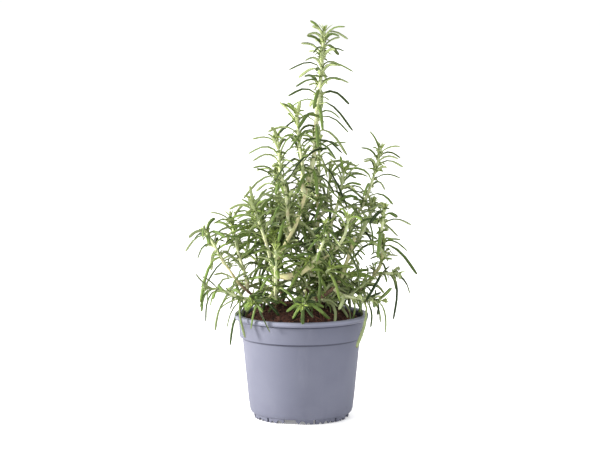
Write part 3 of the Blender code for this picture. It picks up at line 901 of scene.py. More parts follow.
def middle(ring: Iterable) -> Vector:
    """The centre of a ring of vertices."""
    spots = [v.co for v in ring]
    return sum(spots, Vector()) / len(spots)


def ring_radius(ring: Iterable) -> float:
    """The mean distance of a ring's vertices from its centre."""
    ring = list(ring)
    centre = middle(ring)
    return sum((v.co - centre).length for v in ring) / len(ring)


@dataclass
class LeafLine:
    """A leaf as its solid has it.

    Args:
        line: its centre line, from the stem to the point.
        side: the direction across the blade.
        half_width: half of the blade's width.
        axis: the stem's direction where it grows.
        centre: the stem's middle there.
        share: how far along the shoot it grows, between 0 and 1.
    """

    line: list[Vector]
    side: Vector
    half_width: float
    axis: Vector
    centre: Vector
    share: float = 0.0


class ShootReader(SolidReader):
    """Reads a leafy shoot's stem line and its leaves."""

    def read(self) -> tuple[list[Vector], list[float], list[LeafLine]]:
        """Finds leaves by their points, then the stem's rings from the foot up.

        Returns:
            The stem's ring centres, its radii there and its leaves.
        """
        found, blades = [], set()
        for tip in self.mesh.verts:
            parts = self.leaf_rings(tip)
            if parts:
                found.append((tip, *parts))
                blades |= {tip} | parts[0] | parts[1]
        stem = set(self.mesh.verts) - blades
        rings = self.rings(self.foot(stem), stem)
        level = {v: i for i, ring in enumerate(rings) for v in ring}
        centres = [middle(ring) for ring in rings]
        reach = lengths(centres)
        leaves = []
        for tip, outer, inner, root in found:
            low = min(level[v] for v in root)
            axis = (centres[low + 1] - centres[low]).normalized()
            line = [middle(root), middle(inner), middle(outer), tip.co.copy()]
            edges = {e for v in inner for e in v.link_edges if e.other_vert(v) in inner}
            longest = max(edges, key=lambda e: self.flatness(e, line))
            side = longest.verts[1].co - longest.verts[0].co
            leaves.append(
                LeafLine(line, side.normalized(), side.length / 2, axis, centres[low], reach[low] / reach[-1])
            )
        leaves.sort(key=lambda leaf: (leaf.share, tuple(leaf.line[0])))
        return centres, [ring_radius(ring) for ring in rings], leaves

    @staticmethod
    def flatness(edge: Any, line: Sequence[Vector]) -> float:
        """How long the edge is square to the leaf's line."""
        along = (line[2] - line[0]).normalized()
        run = edge.verts[1].co - edge.verts[0].co
        return (run - along * run.dot(along)).length

    def leaf_rings(self, tip: Any) -> tuple[set, set, set] | None:
        """The three rings behind a leaf's point, or None if the vertex isn't one."""
        outer = self.around({tip}, set())
        if len(outer) != 4 or any(
            sum(e.other_vert(v) in outer for e in v.link_edges) != 2 for v in outer
        ):
            return None
        inner = self.around(outer, {tip})
        if len(inner) != 4:
            return None
        root = self.around(inner, outer | {tip})
        return (outer, inner, root) if len(root) == 4 else None

    def foot(self, stem: set) -> set:
        """The ring at the stem's thicker end.

        Args:
            stem: every vertex of the stem.

        Returns:
            The ring's vertices.
        """
        ends = []
        start = next(iter(sorted(stem, key=lambda v: v.index)))
        far = None
        for _ in range(2):
            far = min(self.rings({start if far is None else far}, stem)[-1], key=lambda v: v.index)
            ends.append({far, *sorted(stem - {far}, key=lambda v: (v.co - far.co).length)[:3]})
        return max(ends, key=ring_radius)


class WoodReader(SolidReader):
    """Reads a woody stem's centre line and radii, foot first."""

    def read(self) -> tuple[list[Vector], list[float]]:
        """Walks down from the highest ring.

        Returns:
            The ring centres and the radii there.
        """
        every = set(self.mesh.verts)
        top = max(every, key=lambda v: v.co.z)
        ends = []
        for start in (top, None):
            if start is None:
                start = min(self.rings(ends[0], every)[-1], key=lambda v: v.index)
            ends.append({start, *sorted(every - {start}, key=lambda v: (v.co - start.co).length)[:5]})
        foot = min(ends, key=lambda ring: middle(ring).z)
        rings = self.rings(foot, every)
        return [middle(r) for r in rings], [ring_radius(r) for r in rings]


# -------------------------------------------------------------------- leaves


class LeafKind(Enum):
    """The sizes of leaf that grow on a shoot."""

    MATURE = "mature"
    AXIL = "axil"
    BUD = "bud"


@dataclass(frozen=True)
class BladeShape:
    """Where a blade's rings are and how wide it is there, as shares of its length and width."""

    stations: tuple[float, ...]
    widths: tuple[float, ...]
    sides: int
    thickness: float
    groove: float
    roll: float


BLADE_SHAPES = {
    LeafKind.MATURE: BladeShape(
        (0, 0.07, 0.2, 0.38, 0.58, 0.77, 0.91, 0.975, 1), (0.46, 0.60, 0.86, 1, 1, 1, 0.88, 0.62, 0.26),
        8, 0.66, 0.42, 0.24,
    ),
    LeafKind.AXIL: BladeShape(
        (0, 0.2, 0.5, 0.8, 0.95, 1), (0.45, 0.85, 1, 0.98, 0.66, 0.24), 6, 0.62, 0.36, 0.22
    ),
    LeafKind.BUD: BladeShape(
        (0, 0.25, 0.55, 0.85, 1), (0.6, 1, 0.95, 0.6, 0.14), 6, 0.45, 0.3, 0.2
    ),
}


@dataclass(frozen=True)
class Habit:
    """How a shoot's grown leaves differ from its solid's.

    Args:
        breadth: their width as a share of the solid's.
        length: their length as a share of the solid's.
        stretch: how much longer the ones at the tip are.
        bend: the least and the most that they arch over, as shares of their length.
        extra: how often there is a leaf between two pairs.
        rise: how much the ones at the tip stand up.
        stem: the stem's width as a share of the solid's.
        fresh: how much of its tip's fresh colour its leaves take.
    """

    breadth: float
    length: float
    stretch: float
    bend: tuple[float, float]
    extra: float
    rise: float
    stem: float
    fresh: float


class Growth(Enum):
    """The habits of the plant's shoots."""

    LEADER = Habit(1.42, 0.82, 0.66, (0.25, 1.15), 1.0, 0.72, 1.22, 0.20)
    ARCHING = Habit(1.24, 0.96, 0.42, (0.06, 0.75), 0.16, 0.40, 0.92, 0.38)
    HANGING = Habit(1.45, 0.90, 0.22, (0.30, 0.90), 0.50, 0.14, 0.88, 0.0)
    FRONT = Habit(1.26, 0.60, -0.10, (0.25, 0.75), 1.0, 0.10, 0.85, 0.0)


def growth_of(node: str) -> Growth:
    """The habit of a shoot, by where it grows."""
    if node == "leader_shoot":
        return Growth.LEADER
    if "front" in node:
        return Growth.FRONT
    hanging = ("low", "hanging", "far")
    return Growth.HANGING if any(word in node for word in hanging) else Growth.ARCHING


def blade_strand(
    kind: LeafKind, line: Sequence[Vector], up: Vector, half: float, youth: float, tint: float
) -> Strand:
    """A blade along a line.

    Args:
        kind: its kind.
        line: a few points from the stem to its point.
        up: roughly the way that its upper side faces.
        half: half of its width.
        youth: how young it is.
        tint: its own shade.

    Returns:
        The strand to be skinned.
    """
    shape = BLADE_SHAPES[kind]
    fine = smooth_line(line, 1.0 * MM)
    points = [at_share(fine, s) for s in shape.stations]
    return Strand(
        points, upright(points, up), [half * w for w in shape.widths], [youth] * len(points), tint
    )


@dataclass
class Tuft:
    """A short side growth: pairs of small leaves that stand round a heart.

    Args:
        root: where it grows.
        heart: the way that it points.
        size: its longest leaf.
        count: how many leaves it has.
        youth: how young its leaves are.
        rng: where its variety comes from.
    """

    root: Vector
    heart: Vector
    size: float
    count: int
    youth: float
    rng: random.Random

    def strands(self) -> list[Strand]:
        """The tuft's leaves, the outer ones longer and more bent."""
        heart, rng = self.heart.normalized(), self.rng
        square = heart.orthogonal().normalized()
        turn = rng.uniform(0, math.tau)
        made = []
        for i in range(self.count):
            pair, second = divmod(i, 2)
            angle = turn + pair * math.pi / 2 + second * math.pi + rng.uniform(-0.35, 0.35)
            away = Matrix.Rotation(angle, 3, heart) @ square
            length = self.size * (1 - 0.17 * pair) * rng.uniform(0.78, 1.12)
            spread = rng.uniform(0.45, 1.0) * (1 - 0.2 * pair)
            start = self.root + heart * 0.11 * self.size * pair
            first = (heart + away * spread).normalized()
            then = (heart * 0.35 + away * (spread + 0.5) - Vector((0, 0, 0.55))).normalized()
            end = start + (first * 0.5 + then * 0.5) * length
            line = [start, start + first * length * 0.5, end]
            youth = min(1.0, self.youth + 0.08 * pair) * rng.uniform(0.6, 1.0)
            half = rng.uniform(0.92, 1.30) * MM * min(1.0, 0.55 + length / (26 * MM))
            made.append(
                blade_strand(LeafKind.AXIL, line, heart - away * 0.6, half, youth, rng.random())
            )
        return made


@dataclass
class LeafyShoot:
    """A leafy shoot: square stem, pairs of blades, tufts of young leaves in their axils and a tip bud.

    Args:
        node: the solid that it stands for.
        tools: the shared trees.
        foot_run: how far the stem's foot goes into what it grows from.
        root_run: how far a blade's root goes into the stem.
        tuft_chance: how often an axil low on the shoot holds a tuft.
        tuft_length: a tuft leaf's longest length.
        bud_length: the tip bud's leaf length.
        bud_leaves: how many leaves the bud has.
        long_shoot: the length from which only a shoot's upper part is fresh.
        twist: the most that a grown leaf turns along its length, in degrees.
    """

    node: str
    tools: Toolbox
    foot_run: float = 1.4 * MM
    root_run: float = 0.7 * MM
    tuft_chance: float = 0.8
    tuft_length: float = 17 * MM
    bud_length: float = 11 * MM
    bud_leaves: int = 8
    long_shoot: float = 60 * MM
    twist: float = 70.0

    def build(self) -> list[bpy.types.Object]:
        """Reads the solid and makes the stem and the leaves.

        Returns:
            The two finished pieces.
        """
        self.rng = random.Random(self.node)
        self.habit = growth_of(self.node).value
        self.centres, self.radii, self.leaves = ShootReader(self.node).read()
        self.reach = lengths(self.centres)
        self.fresh_from = 0.30 if self.reach[-1] > self.long_shoot else 0.05
        stem = self.tools.stems.run(
            f"{self.node}_stem", line_mesh("line", [self.stem_strand()]), GreenStem(),
            Sides=12, Ridge=0.22, Bark_Depth=0.00004, Bark_Length=5.0,
        )
        blades = {kind: [] for kind in LeafKind}
        extra = self.extra_pairs()
        for leaf in self.leaves + extra:
            blades[LeafKind.MATURE].append(self.mature(leaf))
        for leaf in self.leaves:
            blades[LeafKind.AXIL] += self.tuft(leaf)
        blades[LeafKind.BUD] += self.bud()
        made = [self.skinned(kind, strands) for kind, strands in blades.items() if strands]
        leaves = joined(f"{self.node}_leaves", made)
        return [fitted(stem, "foliage", self.node), fitted(leaves, "foliage", self.node)]

    def skinned(self, kind: LeafKind, strands: list[Strand]) -> bpy.types.Object:
        """The skins of all the shoot's leaves of one kind."""
        shape = BLADE_SHAPES[kind]
        return self.tools.blades.run(
            f"{self.node}_{kind.value}", line_mesh("line", strands), LeafSkin(),
            Sides=shape.sides, Thickness=shape.thickness, Groove=shape.groove, Roll=shape.roll,
        )

    def youth(self, share: float) -> float:
        """How young the shoot is at a share of its length."""
        t = min(max((share - self.fresh_from) / (1 - self.fresh_from), 0), 1)
        return t * t * (3 - 2 * t)

    def stem_strand(self) -> Strand:
        """The stem, swollen a little at each pair of leaves and sunk into its parent."""
        down = (self.centres[0] - self.centres[1]).normalized()
        rings = [self.centres[0] + down * self.foot_run, *self.centres[1:]]
        line = smooth_line(rings, 1.6 * MM)
        reach = lengths(line)
        pairs = range(1, len(self.reach) - 1, 2)
        nodes = [0.5 * (self.reach[i] + self.reach[i + 1]) + self.foot_run for i in pairs]
        widths = []
        for place in reach:
            share = place / reach[-1]
            near = min((abs(place - n) for n in nodes), default=1)
            swell = 1 + 0.20 * math.exp(-((near / (1.7 * MM)) ** 2))
            thin = between(self.radii[0], self.radii[-1], share) * self.habit.stem
            flare = 1 + 0.25 * math.exp(-((place / (3 * MM)) ** 2))
            widths.append(thin * swell * flare)
        widths[-1] *= 0.5
        first = self.leaves[0].line[0] - self.centres[1] if self.leaves else Vector((1, 0, 0))
        youth = [0.12 + 0.88 * self.youth(r / reach[-1]) for r in reach]
        return Strand(line, upright(line, first), widths, youth, self.rng.random(), True)

    def mature(self, leaf: LeafLine) -> Strand:
        """The blade of a grown leaf, run into the stem, drawn out, bent and a little twisted."""
        root, rng = leaf.line[0], self.rng
        along = (leaf.line[1] - root).normalized()
        up = along.cross(leaf.side)
        if up.dot(leaf.axis) < 0:
            up.negate()
        drawn = self.habit.length + self.habit.stretch * leaf.share + rng.uniform(-0.04, 0.12)
        bend = rng.uniform(*self.habit.bend) * (leaf.line[3] - root).length
        lift = leaf.axis * self.habit.rise * between(0.35, 1.0, leaf.share)
        line = [root - along * self.root_run]
        for share, point in zip((0.32, 0.68, 1.0), leaf.line[1:]):
            run = (point - root) * drawn
            run = (run + lift * run.length * (1 - 0.35 * share)).normalized() * run.length
            line.append(root + run - (up + Vector((0, 0, 0.6))) * bend * share**2.2)
        youth = self.habit.fresh * self.youth(leaf.share) * rng.uniform(0.5, 1.0)
        half = leaf.half_width * self.habit.breadth * rng.uniform(0.84, 1.06)
        strand = blade_strand(LeafKind.MATURE, line, up, half, youth, rng.random())
        twist = math.radians(rng.uniform(-self.twist, self.twist))
        for i, share in enumerate(BLADE_SHAPES[LeafKind.MATURE].stations):
            ahead = strand.points[min(i + 1, len(strand.points) - 1)] - strand.points[max(i - 1, 0)]
            strand.ups[i] = Matrix.Rotation(twist * share, 3, ahead.normalized()) @ strand.ups[i]
        return strand

    def extra_pairs(self) -> list[LeafLine]:
        """Leaves for the places between the solid's pairs, turned by an eighth of a circle.

        Returns:
            The leaves, each a turned and shifted copy of one below it.
        """
        shares = sorted({leaf.share for leaf in self.leaves})
        made = []
        for share, after in zip(shares, shares[1:] + [min(1.0, 2 * shares[-1] - shares[-2])]):
            here = (share + after) / 2
            centre = at_share(self.centres, here)
            for leaf in (leaf for leaf in self.leaves if leaf.share == share):
                if self.rng.random() > self.habit.extra:
                    continue
                turn = Matrix.Rotation(math.radians(45 + self.rng.uniform(-14, 14)), 3, leaf.axis)
                size = self.rng.uniform(0.72, 1.0)
                line = [centre + turn @ (p - leaf.centre - leaf.axis * 0.8 * MM) for p in leaf.line]
                line = [line[0]] + [line[0] + (p - line[0]) * size for p in line[1:]]
                made.append(
                    LeafLine(line, turn @ leaf.side, leaf.half_width * 0.94, leaf.axis, centre, here)
                )
        return made

    def tuft(self, leaf: LeafLine) -> list[Strand]:
        """The young leaves in a leaf's axil, fewer towards the shoot's tip."""
        if self.rng.random() > self.tuft_chance * (1 - 0.4 * leaf.share):
            return []
        out = leaf.line[1] - leaf.line[0]
        out = (out - leaf.axis * out.dot(leaf.axis)).normalized()
        root = leaf.line[0] + leaf.axis * 0.9 * MM - out * 0.5 * MM
        heart = leaf.axis + out * self.rng.uniform(0.4, 1.0)
        size = self.tuft_length * self.rng.uniform(0.45, 1.0) * (1 - 0.3 * leaf.share)
        youth = 0.12 + self.habit.fresh * self.youth(leaf.share)
        return Tuft(root, heart, size, self.rng.choice((3, 4, 4, 5, 6)), youth, self.rng).strands()

    def bud(self) -> list[Strand]:
        """The pale leaves that stand together at the tip."""
        axis = (self.centres[-1] - self.centres[-2]).normalized()
        square = axis.orthogonal().normalized()
        turn = self.rng.uniform(0, math.tau)
        strands = []
        for i in range(self.bud_leaves):
            inward = i / (self.bud_leaves - 1)
            away = Matrix.Rotation(turn + i * 2.4, 3, axis) @ square
            length = self.bud_length * between(1.0, 0.45, inward) * self.rng.uniform(0.85, 1.1)
            start = self.centres[-1] - axis * between(1.8, 0.4, inward) * MM
            lean = between(0.75, 0.12, inward)
            first = (axis + away * lean).normalized()
            then = (axis + away * lean * 1.7).normalized()
            line = [start, start + first * length * 0.5, start + (first + then) * length * 0.5]
            strands.append(blade_strand(LeafKind.BUD, line, -away, 0.85 * MM, 0.92, self.rng.random()))
        return strands


def joined(name: str, holders: list[bpy.types.Object]) -> bpy.types.Object:
    """One object made of several with the same finish.

    Args:
        name: its name.
        holders: the objects, which are used up.

    Returns:
        The object.
    """
    for other in bpy.context.view_layer.objects:
        other.select_set(False)
    for holder in holders:
        holder.select_set(True)
    bpy.context.view_layer.objects.active = holders[0]
    if len(holders) > 1:
        bpy.ops.object.join()
    holders[0].name = holders[0].data.name = name
    return holders[0]


# --------------------------------------------------------------- woody stems


@dataclass
class WoodyStem:
    """A woody stem with knots, rough bark near the compost and smooth skin higher up.

    Args:
        node: the solid that it stands for.
        tools: the shared trees.
        bark_top: the height at which the bark has turned to smooth skin.
        knot_step: the distance between knots.
        spur_start: how far from the foot its leafy spurs begin.
        spur_step: the distance between them.
        spur_length: their longest leaf.
        spur_chance: how often there is one on a side.
        slim: its width as a share of the solid's.
        cut: whether its top end is pruned rather than carried on by a shoot.
        bark_foot: the height below which it is all bark.
    """

    node: str
    tools: Toolbox
    bark_top: float = 0.160
    knot_step: float = 11 * MM
    spur_start: float = 16 * MM
    spur_step: float = 9 * MM
    spur_length: float = 23 * MM
    spur_chance: float = LEAFY_STEM_SPURS
    slim: float = 0.86
    cut: bool = False
    bark_foot: float = 0.112

    def build(self) -> list[bpy.types.Object]:
        """Reads the solid's line and sweeps the stem along it.

        Returns:
            The stem and its leafy spurs.
        """
        rng = random.Random(self.node)
        centres, radii = WoodReader(self.node).read()
        line = smooth_line(centres, 1.2 * MM)
        reach = lengths(line)
        coarse = lengths(centres)
        widths = list(np.interp([r / reach[-1] for r in reach], [c / coarse[-1] for c in coarse], radii))
        count = int(reach[-1] / self.knot_step)
        knots = [k * self.knot_step * rng.uniform(0.9, 1.1) for k in range(1, count + 1)]
        for i, place in enumerate(reach):
            near = min((abs(place - k) for k in knots), default=1)
            knot = 0.16 * math.exp(-((near / (2.0 * MM)) ** 2))
            widths[i] *= self.slim * (0.97 + knot + rng.uniform(-0.02, 0.02))
        if not self.cut:
            widths[-1] *= 0.9
        span = self.bark_top - self.bark_foot
        youth = [min(1, max(0, (p.z - self.bark_foot) / span)) for p in line]
        strand = Strand(line, upright(line, Vector((1, 0.3, 0))), widths, youth, rng.random(), True)
        made = self.tools.stems.run(
            f"{self.node}_wood", line_mesh("line", [strand]), Bark(),
            Sides=16, Ridge=0.05, Bark_Depth=0.00028, Bark_Length=4.0,
        )
        spurs = self.tools.blades.run(
            f"{self.node}_spurs", line_mesh("line", self.spurs(line, widths, rng)), LeafSkin(),
            Sides=6, Thickness=0.4, Groove=0.45, Roll=0.24,
        )
        return [fitted(made, "bark", self.node), fitted(spurs, "foliage")]

    def spurs(self, line: list[Vector], widths: list[float], rng: random.Random) -> list[Strand]:
        """Short leafy growths along the stem.

        Args:
            line: the stem's line.
            widths: its radii.
            rng: where their variety comes from.

        Returns:
            Their leaves.
        """
        reach, made, place = lengths(line), [], self.spur_start
        turn = rng.uniform(0, math.tau)
        while place < reach[-1] - 2 * MM:
            at = min(range(len(line)), key=lambda i: abs(reach[i] - place))
            at = max(1, min(at, len(line) - 2))
            axis = (line[at + 1] - line[at - 1]).normalized()
            for side in (0, math.pi):
                if rng.random() < self.spur_chance:
                    out = Matrix.Rotation(turn + side, 3, axis) @ axis.orthogonal().normalized()
                    root = line[at] + out * (widths[at] - 0.5 * MM)
                    heart = out + axis * rng.uniform(0.3, 1.0) + Vector((0, 0, 0.25))
                    size = rng.uniform(0.5, 1.0) * self.spur_length
                    made += Tuft(root, heart, size, rng.choice((4, 5, 6, 7)), 0.12, rng).strands()
            turn += math.pi / 2 + rng.uniform(-0.4, 0.4)
            place += self.spur_step * rng.uniform(0.8, 1.2)
        return made


# ----------------------------------------------------------------------- pot


@dataclass
class Pot:
    """The tapered plastic pot: lipped collar, chamfered base, notched foot and drain holes.

    Args:
        node: the solid that it stands for.
        sides: how many faces go round.
        rounding: the radius that takes off each outside corner.
        notches: how many notches the foot has.
        notch_turn: where the first one is, in degrees from the front.
        notch_radius: how far from the axis they are.
        notch_height: how high they reach.
        narrow_notch: the width of most of them.
        wide_notch: the width of every third one.
        bites: the radii of the half rounds between two notches.
        bite_start: the angle from a notch to the first half round.
        bite_step: the angle from one half round to the next.
        below: how far a cutter reaches below the foot.
        reach_through: how deep a cutter goes through the foot's wall.
        holes: how many drain holes stand round the middle one.
        hole_radius: their radius.
        hole_ring: how far their centres are from the axis.
        floor_middle: the height of the floor's middle.
        floor_reach: how deep a cutter goes through the floor.
        sharp: the angle, in degrees, from which an edge is a hard one.
    """

    node: str = "pot"
    sides: int = 192
    rounding: float = 0.45 * MM
    notches: int = 12
    notch_turn: float = -104.0
    notch_radius: float = 44.8 * MM
    notch_height: float = 4.4 * MM
    narrow_notch: float = 2.2 * MM
    wide_notch: float = 12 * MM
    bites: tuple[float, ...] = (1.7 * MM, 2.5 * MM, 2.0 * MM)
    bite_start: float = 8.0
    bite_step: float = 7.3
    below: float = 1 * MM
    reach_through: float = 6 * MM
    holes: int = 6
    hole_radius: float = 5 * MM
    hole_ring: float = 28 * MM
    floor_middle: float = 5.5 * MM
    floor_reach: float = 4 * MM
    sharp: float = 35.0

    def outline(self) -> list[tuple[float, float]]:
        """The wall's section as radius and height in millimetres, from the middle hole round."""
        low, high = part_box(self.node)
        rim, top = (high.x - low.x) / 2 / MM, high.z / MM
        return [
            (5, 5), (43, 5), (43, 0), (45.6, 0), (46.1, 3.9), (46.9, 4.7), (48.7, 6.0), (49.8, 9.0),
            (51.3, 20), (56.9, 77.2), (57.3, 80.0), (58.8, 78.3), (59.8, 79.2), (60.4, 94.8),
            (59.9, 95.6), (60.0, 96.9), (rim - 1, 96.2), (rim, 97.2), (rim, top - 1), (rim - 1, top),
            (60.4, top), (59.3, top - 1), (58.6, 82.4), (56.2, 80.4), (49.4, 9.3), (46.1, 6), (5, 6),
        ]

    def rounded(self) -> list[tuple[float, float]]:
        """The outline with each corner turned into a short arc."""
        points = [Vector(p) * MM for p in self.outline()]
        round_line = []
        for i, corner in enumerate(points):
            before, after = points[i - 1], points[(i + 1) % len(points)]
            into, out = before - corner, after - corner
            reach = min(self.rounding, into.length * 0.4, out.length * 0.4)
            start, end = corner + into.normalized() * reach, corner + out.normalized() * reach
            for t in (0.0, 0.25, 0.5, 0.75, 1.0):
                spot = start * (1 - t) ** 2 + corner * 2 * t * (1 - t) + end * t**2
                round_line.append((spot.x, spot.y))
        return round_line

    def cutters(self) -> bpy.types.Object:
        """The bars and pegs that leave the foot's notches and the drain holes."""
        shape, rng = bmesh.new(), random.Random(self.node)
        for i in range(self.notches):
            angle = math.radians(self.notch_turn + 360 * i / self.notches)
            self.bar(shape, angle, self.wide_notch if i % 3 == 0 else self.narrow_notch)
            for k, bite in enumerate(self.bites):
                turn = math.radians(self.bite_start + self.bite_step * k + rng.uniform(-1.4, 1.4))
                self.scallop(shape, angle + turn, bite * rng.uniform(0.7, 1.35))
        for i in range(self.holes):
            angle = math.tau * i / self.holes
            x, y = self.hole_ring * math.cos(angle), self.hole_ring * math.sin(angle)
            bmesh.ops.create_cone(
                shape, cap_ends=True, segments=32, radius1=self.hole_radius, radius2=self.hole_radius,
                depth=self.floor_reach, matrix=Matrix.Translation((x, y, self.floor_middle)),
            )
        return solid("cutters", shape, PotPlastic())

    def scallop(self, shape: bmesh.types.BMesh, angle: float, radius: float) -> None:
        """Adds a peg that bites a half round out of the foot's edge."""
        spot = Matrix.Rotation(angle, 4, "Z") @ Matrix.Translation((0, -self.notch_radius, 0))
        bmesh.ops.create_cone(
            shape, cap_ends=True, segments=16, radius1=radius, radius2=radius, depth=self.reach_through,
            matrix=spot @ Matrix.Rotation(math.pi / 2, 4, "X"),
        )

    def bar(self, shape: bmesh.types.BMesh, angle: float, width: float) -> None:
        """Adds a bar that crosses the foot wall from below."""
        middle_height = (self.notch_height - self.below) / 2
        spot = Matrix.Rotation(angle, 4, "Z") @ Matrix.Translation((0, -self.notch_radius, middle_height))
        size = Matrix.Diagonal((width, self.reach_through, self.notch_height + self.below, 1))
        bmesh.ops.create_cube(shape, size=1.0, matrix=spot @ size)

    def build(self) -> bpy.types.Object:
        """Turns the outline, cuts the notches and holes, and finishes the pot.

        Returns:
            The finished piece.
        """
        shape = bmesh.new()
        outline = self.rounded()
        rings = []
        for i in range(self.sides):
            angle = math.tau * i / self.sides
            rings.append([shape.verts.new((r * math.cos(angle), r * math.sin(angle), z)) for r, z in outline])
        for ring, after in zip(rings, rings[1:] + rings[:1]):
            for k in range(len(outline)):
                m = (k + 1) % len(outline)
                shape.faces.new((ring[k], after[k], after[m], ring[m]))
        made = solid("pot_shell", shape, PotPlastic())
        cutters = self.cutters()
        cut = made.modifiers.new("cut", "BOOLEAN")
        cut.operation, cut.solver, cut.object, cut.use_self = "DIFFERENCE", "EXACT", cutters, True
        seen = made.evaluated_get(bpy.context.evaluated_depsgraph_get())
        mesh = bpy.data.meshes.new_from_object(seen)
        made.modifiers.clear()
        made.data = mesh
        bpy.data.objects.remove(cutters)
        dressed(made, PotPlastic())
        for edge in mesh.edges:
            edge.use_edge_sharp = False
        self.crease(mesh)
        return fitted(made, "pot_plastic", self.node)

    def crease(self, mesh: bpy.types.Mesh) -> None:
        """Marks the hard edges of the notches and holes as sharp."""
        shape = bmesh.new()
        shape.from_mesh(mesh)
        for edge in shape.edges:
            edge.smooth = len(edge.link_faces) == 2 and edge.calc_face_angle(0) < math.radians(self.sharp)
        shape.to_mesh(mesh)
        shape.free()


# ------------------------------------------------------------------- compost


@dataclass
class Compost:
    """The domed compost with its crumbs, bark chips and fibres.

    Args:
        node: the solid that it stands for.
        tools: the shared trees.
        radius: its radius at the pot's wall.
        edge: its height at the wall.
        crown: how much higher its middle is.
        under: its section below the edge, as radius and height in millimetres.
        rings: how many rings of faces the dome has.
        sides: how many faces go round.
        crumbs: crumbs on a square metre.
        chips: bark chips on a square metre.
        fibres: how many fibres lie on it.
    """

    node: str
    tools: Toolbox
    radius: float = 58.3 * MM
    edge: float = 92.4 * MM
    crown: float = 18 * MM
    under: tuple[tuple[float, float], ...] = ((58.1, 83.0), (55.7, 80.0), (48.9, 9.8), (46.0, 6.4))
    rings: int = 48
    sides: int = 144
    crumbs: float = 420000
    chips: float = 42000
    fibres: int = 220

    def height(self, x: float, y: float) -> float:
        """The dome's height over a point, lumps included."""
        r = min(math.hypot(x, y) / self.radius, 1)
        lumps = noise.noise(Vector((x, y, 0.3)) * 130) * 1.3 + noise.noise(Vector((x, y, 0.7)) * 420) * 0.7
        return self.edge + self.crown * (1 - r**3) + lumps * MM * (1 - r**12)

    def surface(self, depth: float = 0.0) -> bmesh.types.BMesh:
        """The dome as rings of faces round a middle point, open at its edge."""
        shape = bmesh.new()
        middle_vertex = shape.verts.new((0, 0, self.height(0, 0) - depth))
        before = None
        for k in range(1, self.rings + 1):
            ring = []
            for x, y in self.circle(self.radius * k / self.rings):
                ring.append(shape.verts.new((x, y, self.height(x, y) - depth)))
            if before is None:
                for i in range(self.sides):
                    shape.faces.new((middle_vertex, ring[i], ring[(i + 1) % self.sides]))
            else:
                self.bridge(shape, before, ring)
            before = ring
        self.edge_ring = before
        return shape

    def circle(self, radius: float) -> list[tuple[float, float]]:
        """The places of one ring's vertices, seen from above."""
        turns = [math.tau * i / self.sides for i in range(self.sides)]
        return [(radius * math.cos(a), radius * math.sin(a)) for a in turns]

    @staticmethod
    def bridge(shape: bmesh.types.BMesh, inner: list, outer: list) -> None:
        """Joins one ring to the next with a row of faces."""
        for i in range(len(inner)):
            j = (i + 1) % len(inner)
            shape.faces.new((inner[i], outer[i], outer[j], inner[j]))

    def build(self) -> list[bpy.types.Object]:
        """Makes the body, the crumbs, the chips and the fibres.

        Returns:
            The finished pieces.
        """
        shape = self.surface()
        ring = self.edge_ring
        for radius, height in self.under:
            lower = [shape.verts.new((x, y, height * MM)) for x, y in self.circle(radius * MM)]
            self.bridge(shape, ring, lower)
            ring = lower
        shape.faces.new(list(reversed(ring)))
        pieces = [fitted(solid("compost_body", shape, Peat()), "compost", self.node)]
        crumbs = self.tools.crumbs.run(
            "compost_crumbs", self.bed(), Peat(), Density=self.crumbs, Seed=4, Dents=0.0011,
            Smallest=(0.35 * MM,) * 3, Largest=(1.05 * MM,) * 3,
        )
        chips = self.tools.crumbs.run(
            "compost_chips", self.bed(), Litter(), Density=self.chips, Seed=11, Dents=0.0009,
            Smallest=(0.5 * MM, 0.5 * MM, 0.25 * MM), Largest=(2.6 * MM, 1.5 * MM, 0.7 * MM),
        )
        fibres = self.tools.stems.run(
            "compost_fibres", line_mesh("line", [self.fibre(i) for i in range(self.fibres)]), Litter(),
            Sides=5, Ridge=0.0, Bark_Depth=0.0, Bark_Length=5.0,
        )
        return pieces + [fitted(p, "compost") for p in (crumbs, chips, fibres)]

    def bed(self) -> bpy.types.Mesh:
        """The dome's top, a little lower, for lumps to be scattered on."""
        shape = self.surface(0.2 * MM)
        mesh = bpy.data.meshes.new("bed")
        far = [v for v in shape.verts if math.hypot(v.co.x, v.co.y) > self.radius * 0.985]
        bmesh.ops.delete(shape, geom=far, context="VERTS")
        shape.to_mesh(mesh)
        shape.free()
        return mesh

    def fibre(self, index: int) -> Strand:
        """A bent fibre that lies on the dome."""
        rng = random.Random(f"fibre {index}")
        r, a = self.radius * 0.94 * math.sqrt(rng.random()), rng.uniform(0, math.tau)
        x, y, turn = r * math.cos(a), r * math.sin(a), rng.uniform(0, math.tau)
        bend, step = rng.uniform(-0.5, 0.5), rng.uniform(0.9, 3.4) * MM
        lift, points = rng.uniform(0, 1.2) * MM, []
        for i in range(6):
            if math.hypot(x, y) < self.radius * 0.975:
                arch = lift * math.sin(math.pi * i / 5)
                points.append(Vector((x, y, self.height(x, y) + 0.25 * MM + arch)))
            x, y, turn = x + math.cos(turn) * step, y + math.sin(turn) * step, turn + bend
        if len(points) < 2:
            x, y = x * 0.8, y * 0.8
            points = [Vector((x + i * MM, y, self.height(x, y))) for i in range(2)]
        half = rng.uniform(0.10, 0.26) * MM
        widths = [half] * len(points)
        widths[0] = widths[-1] = half * 0.5
        shade = rng.random() ** 2.4
        return Strand(points, upright(points, Vector((0.2, 0.1, 1))), widths, [0.0] * len(points), shade)


# -------------------------------------------------------------------- studio


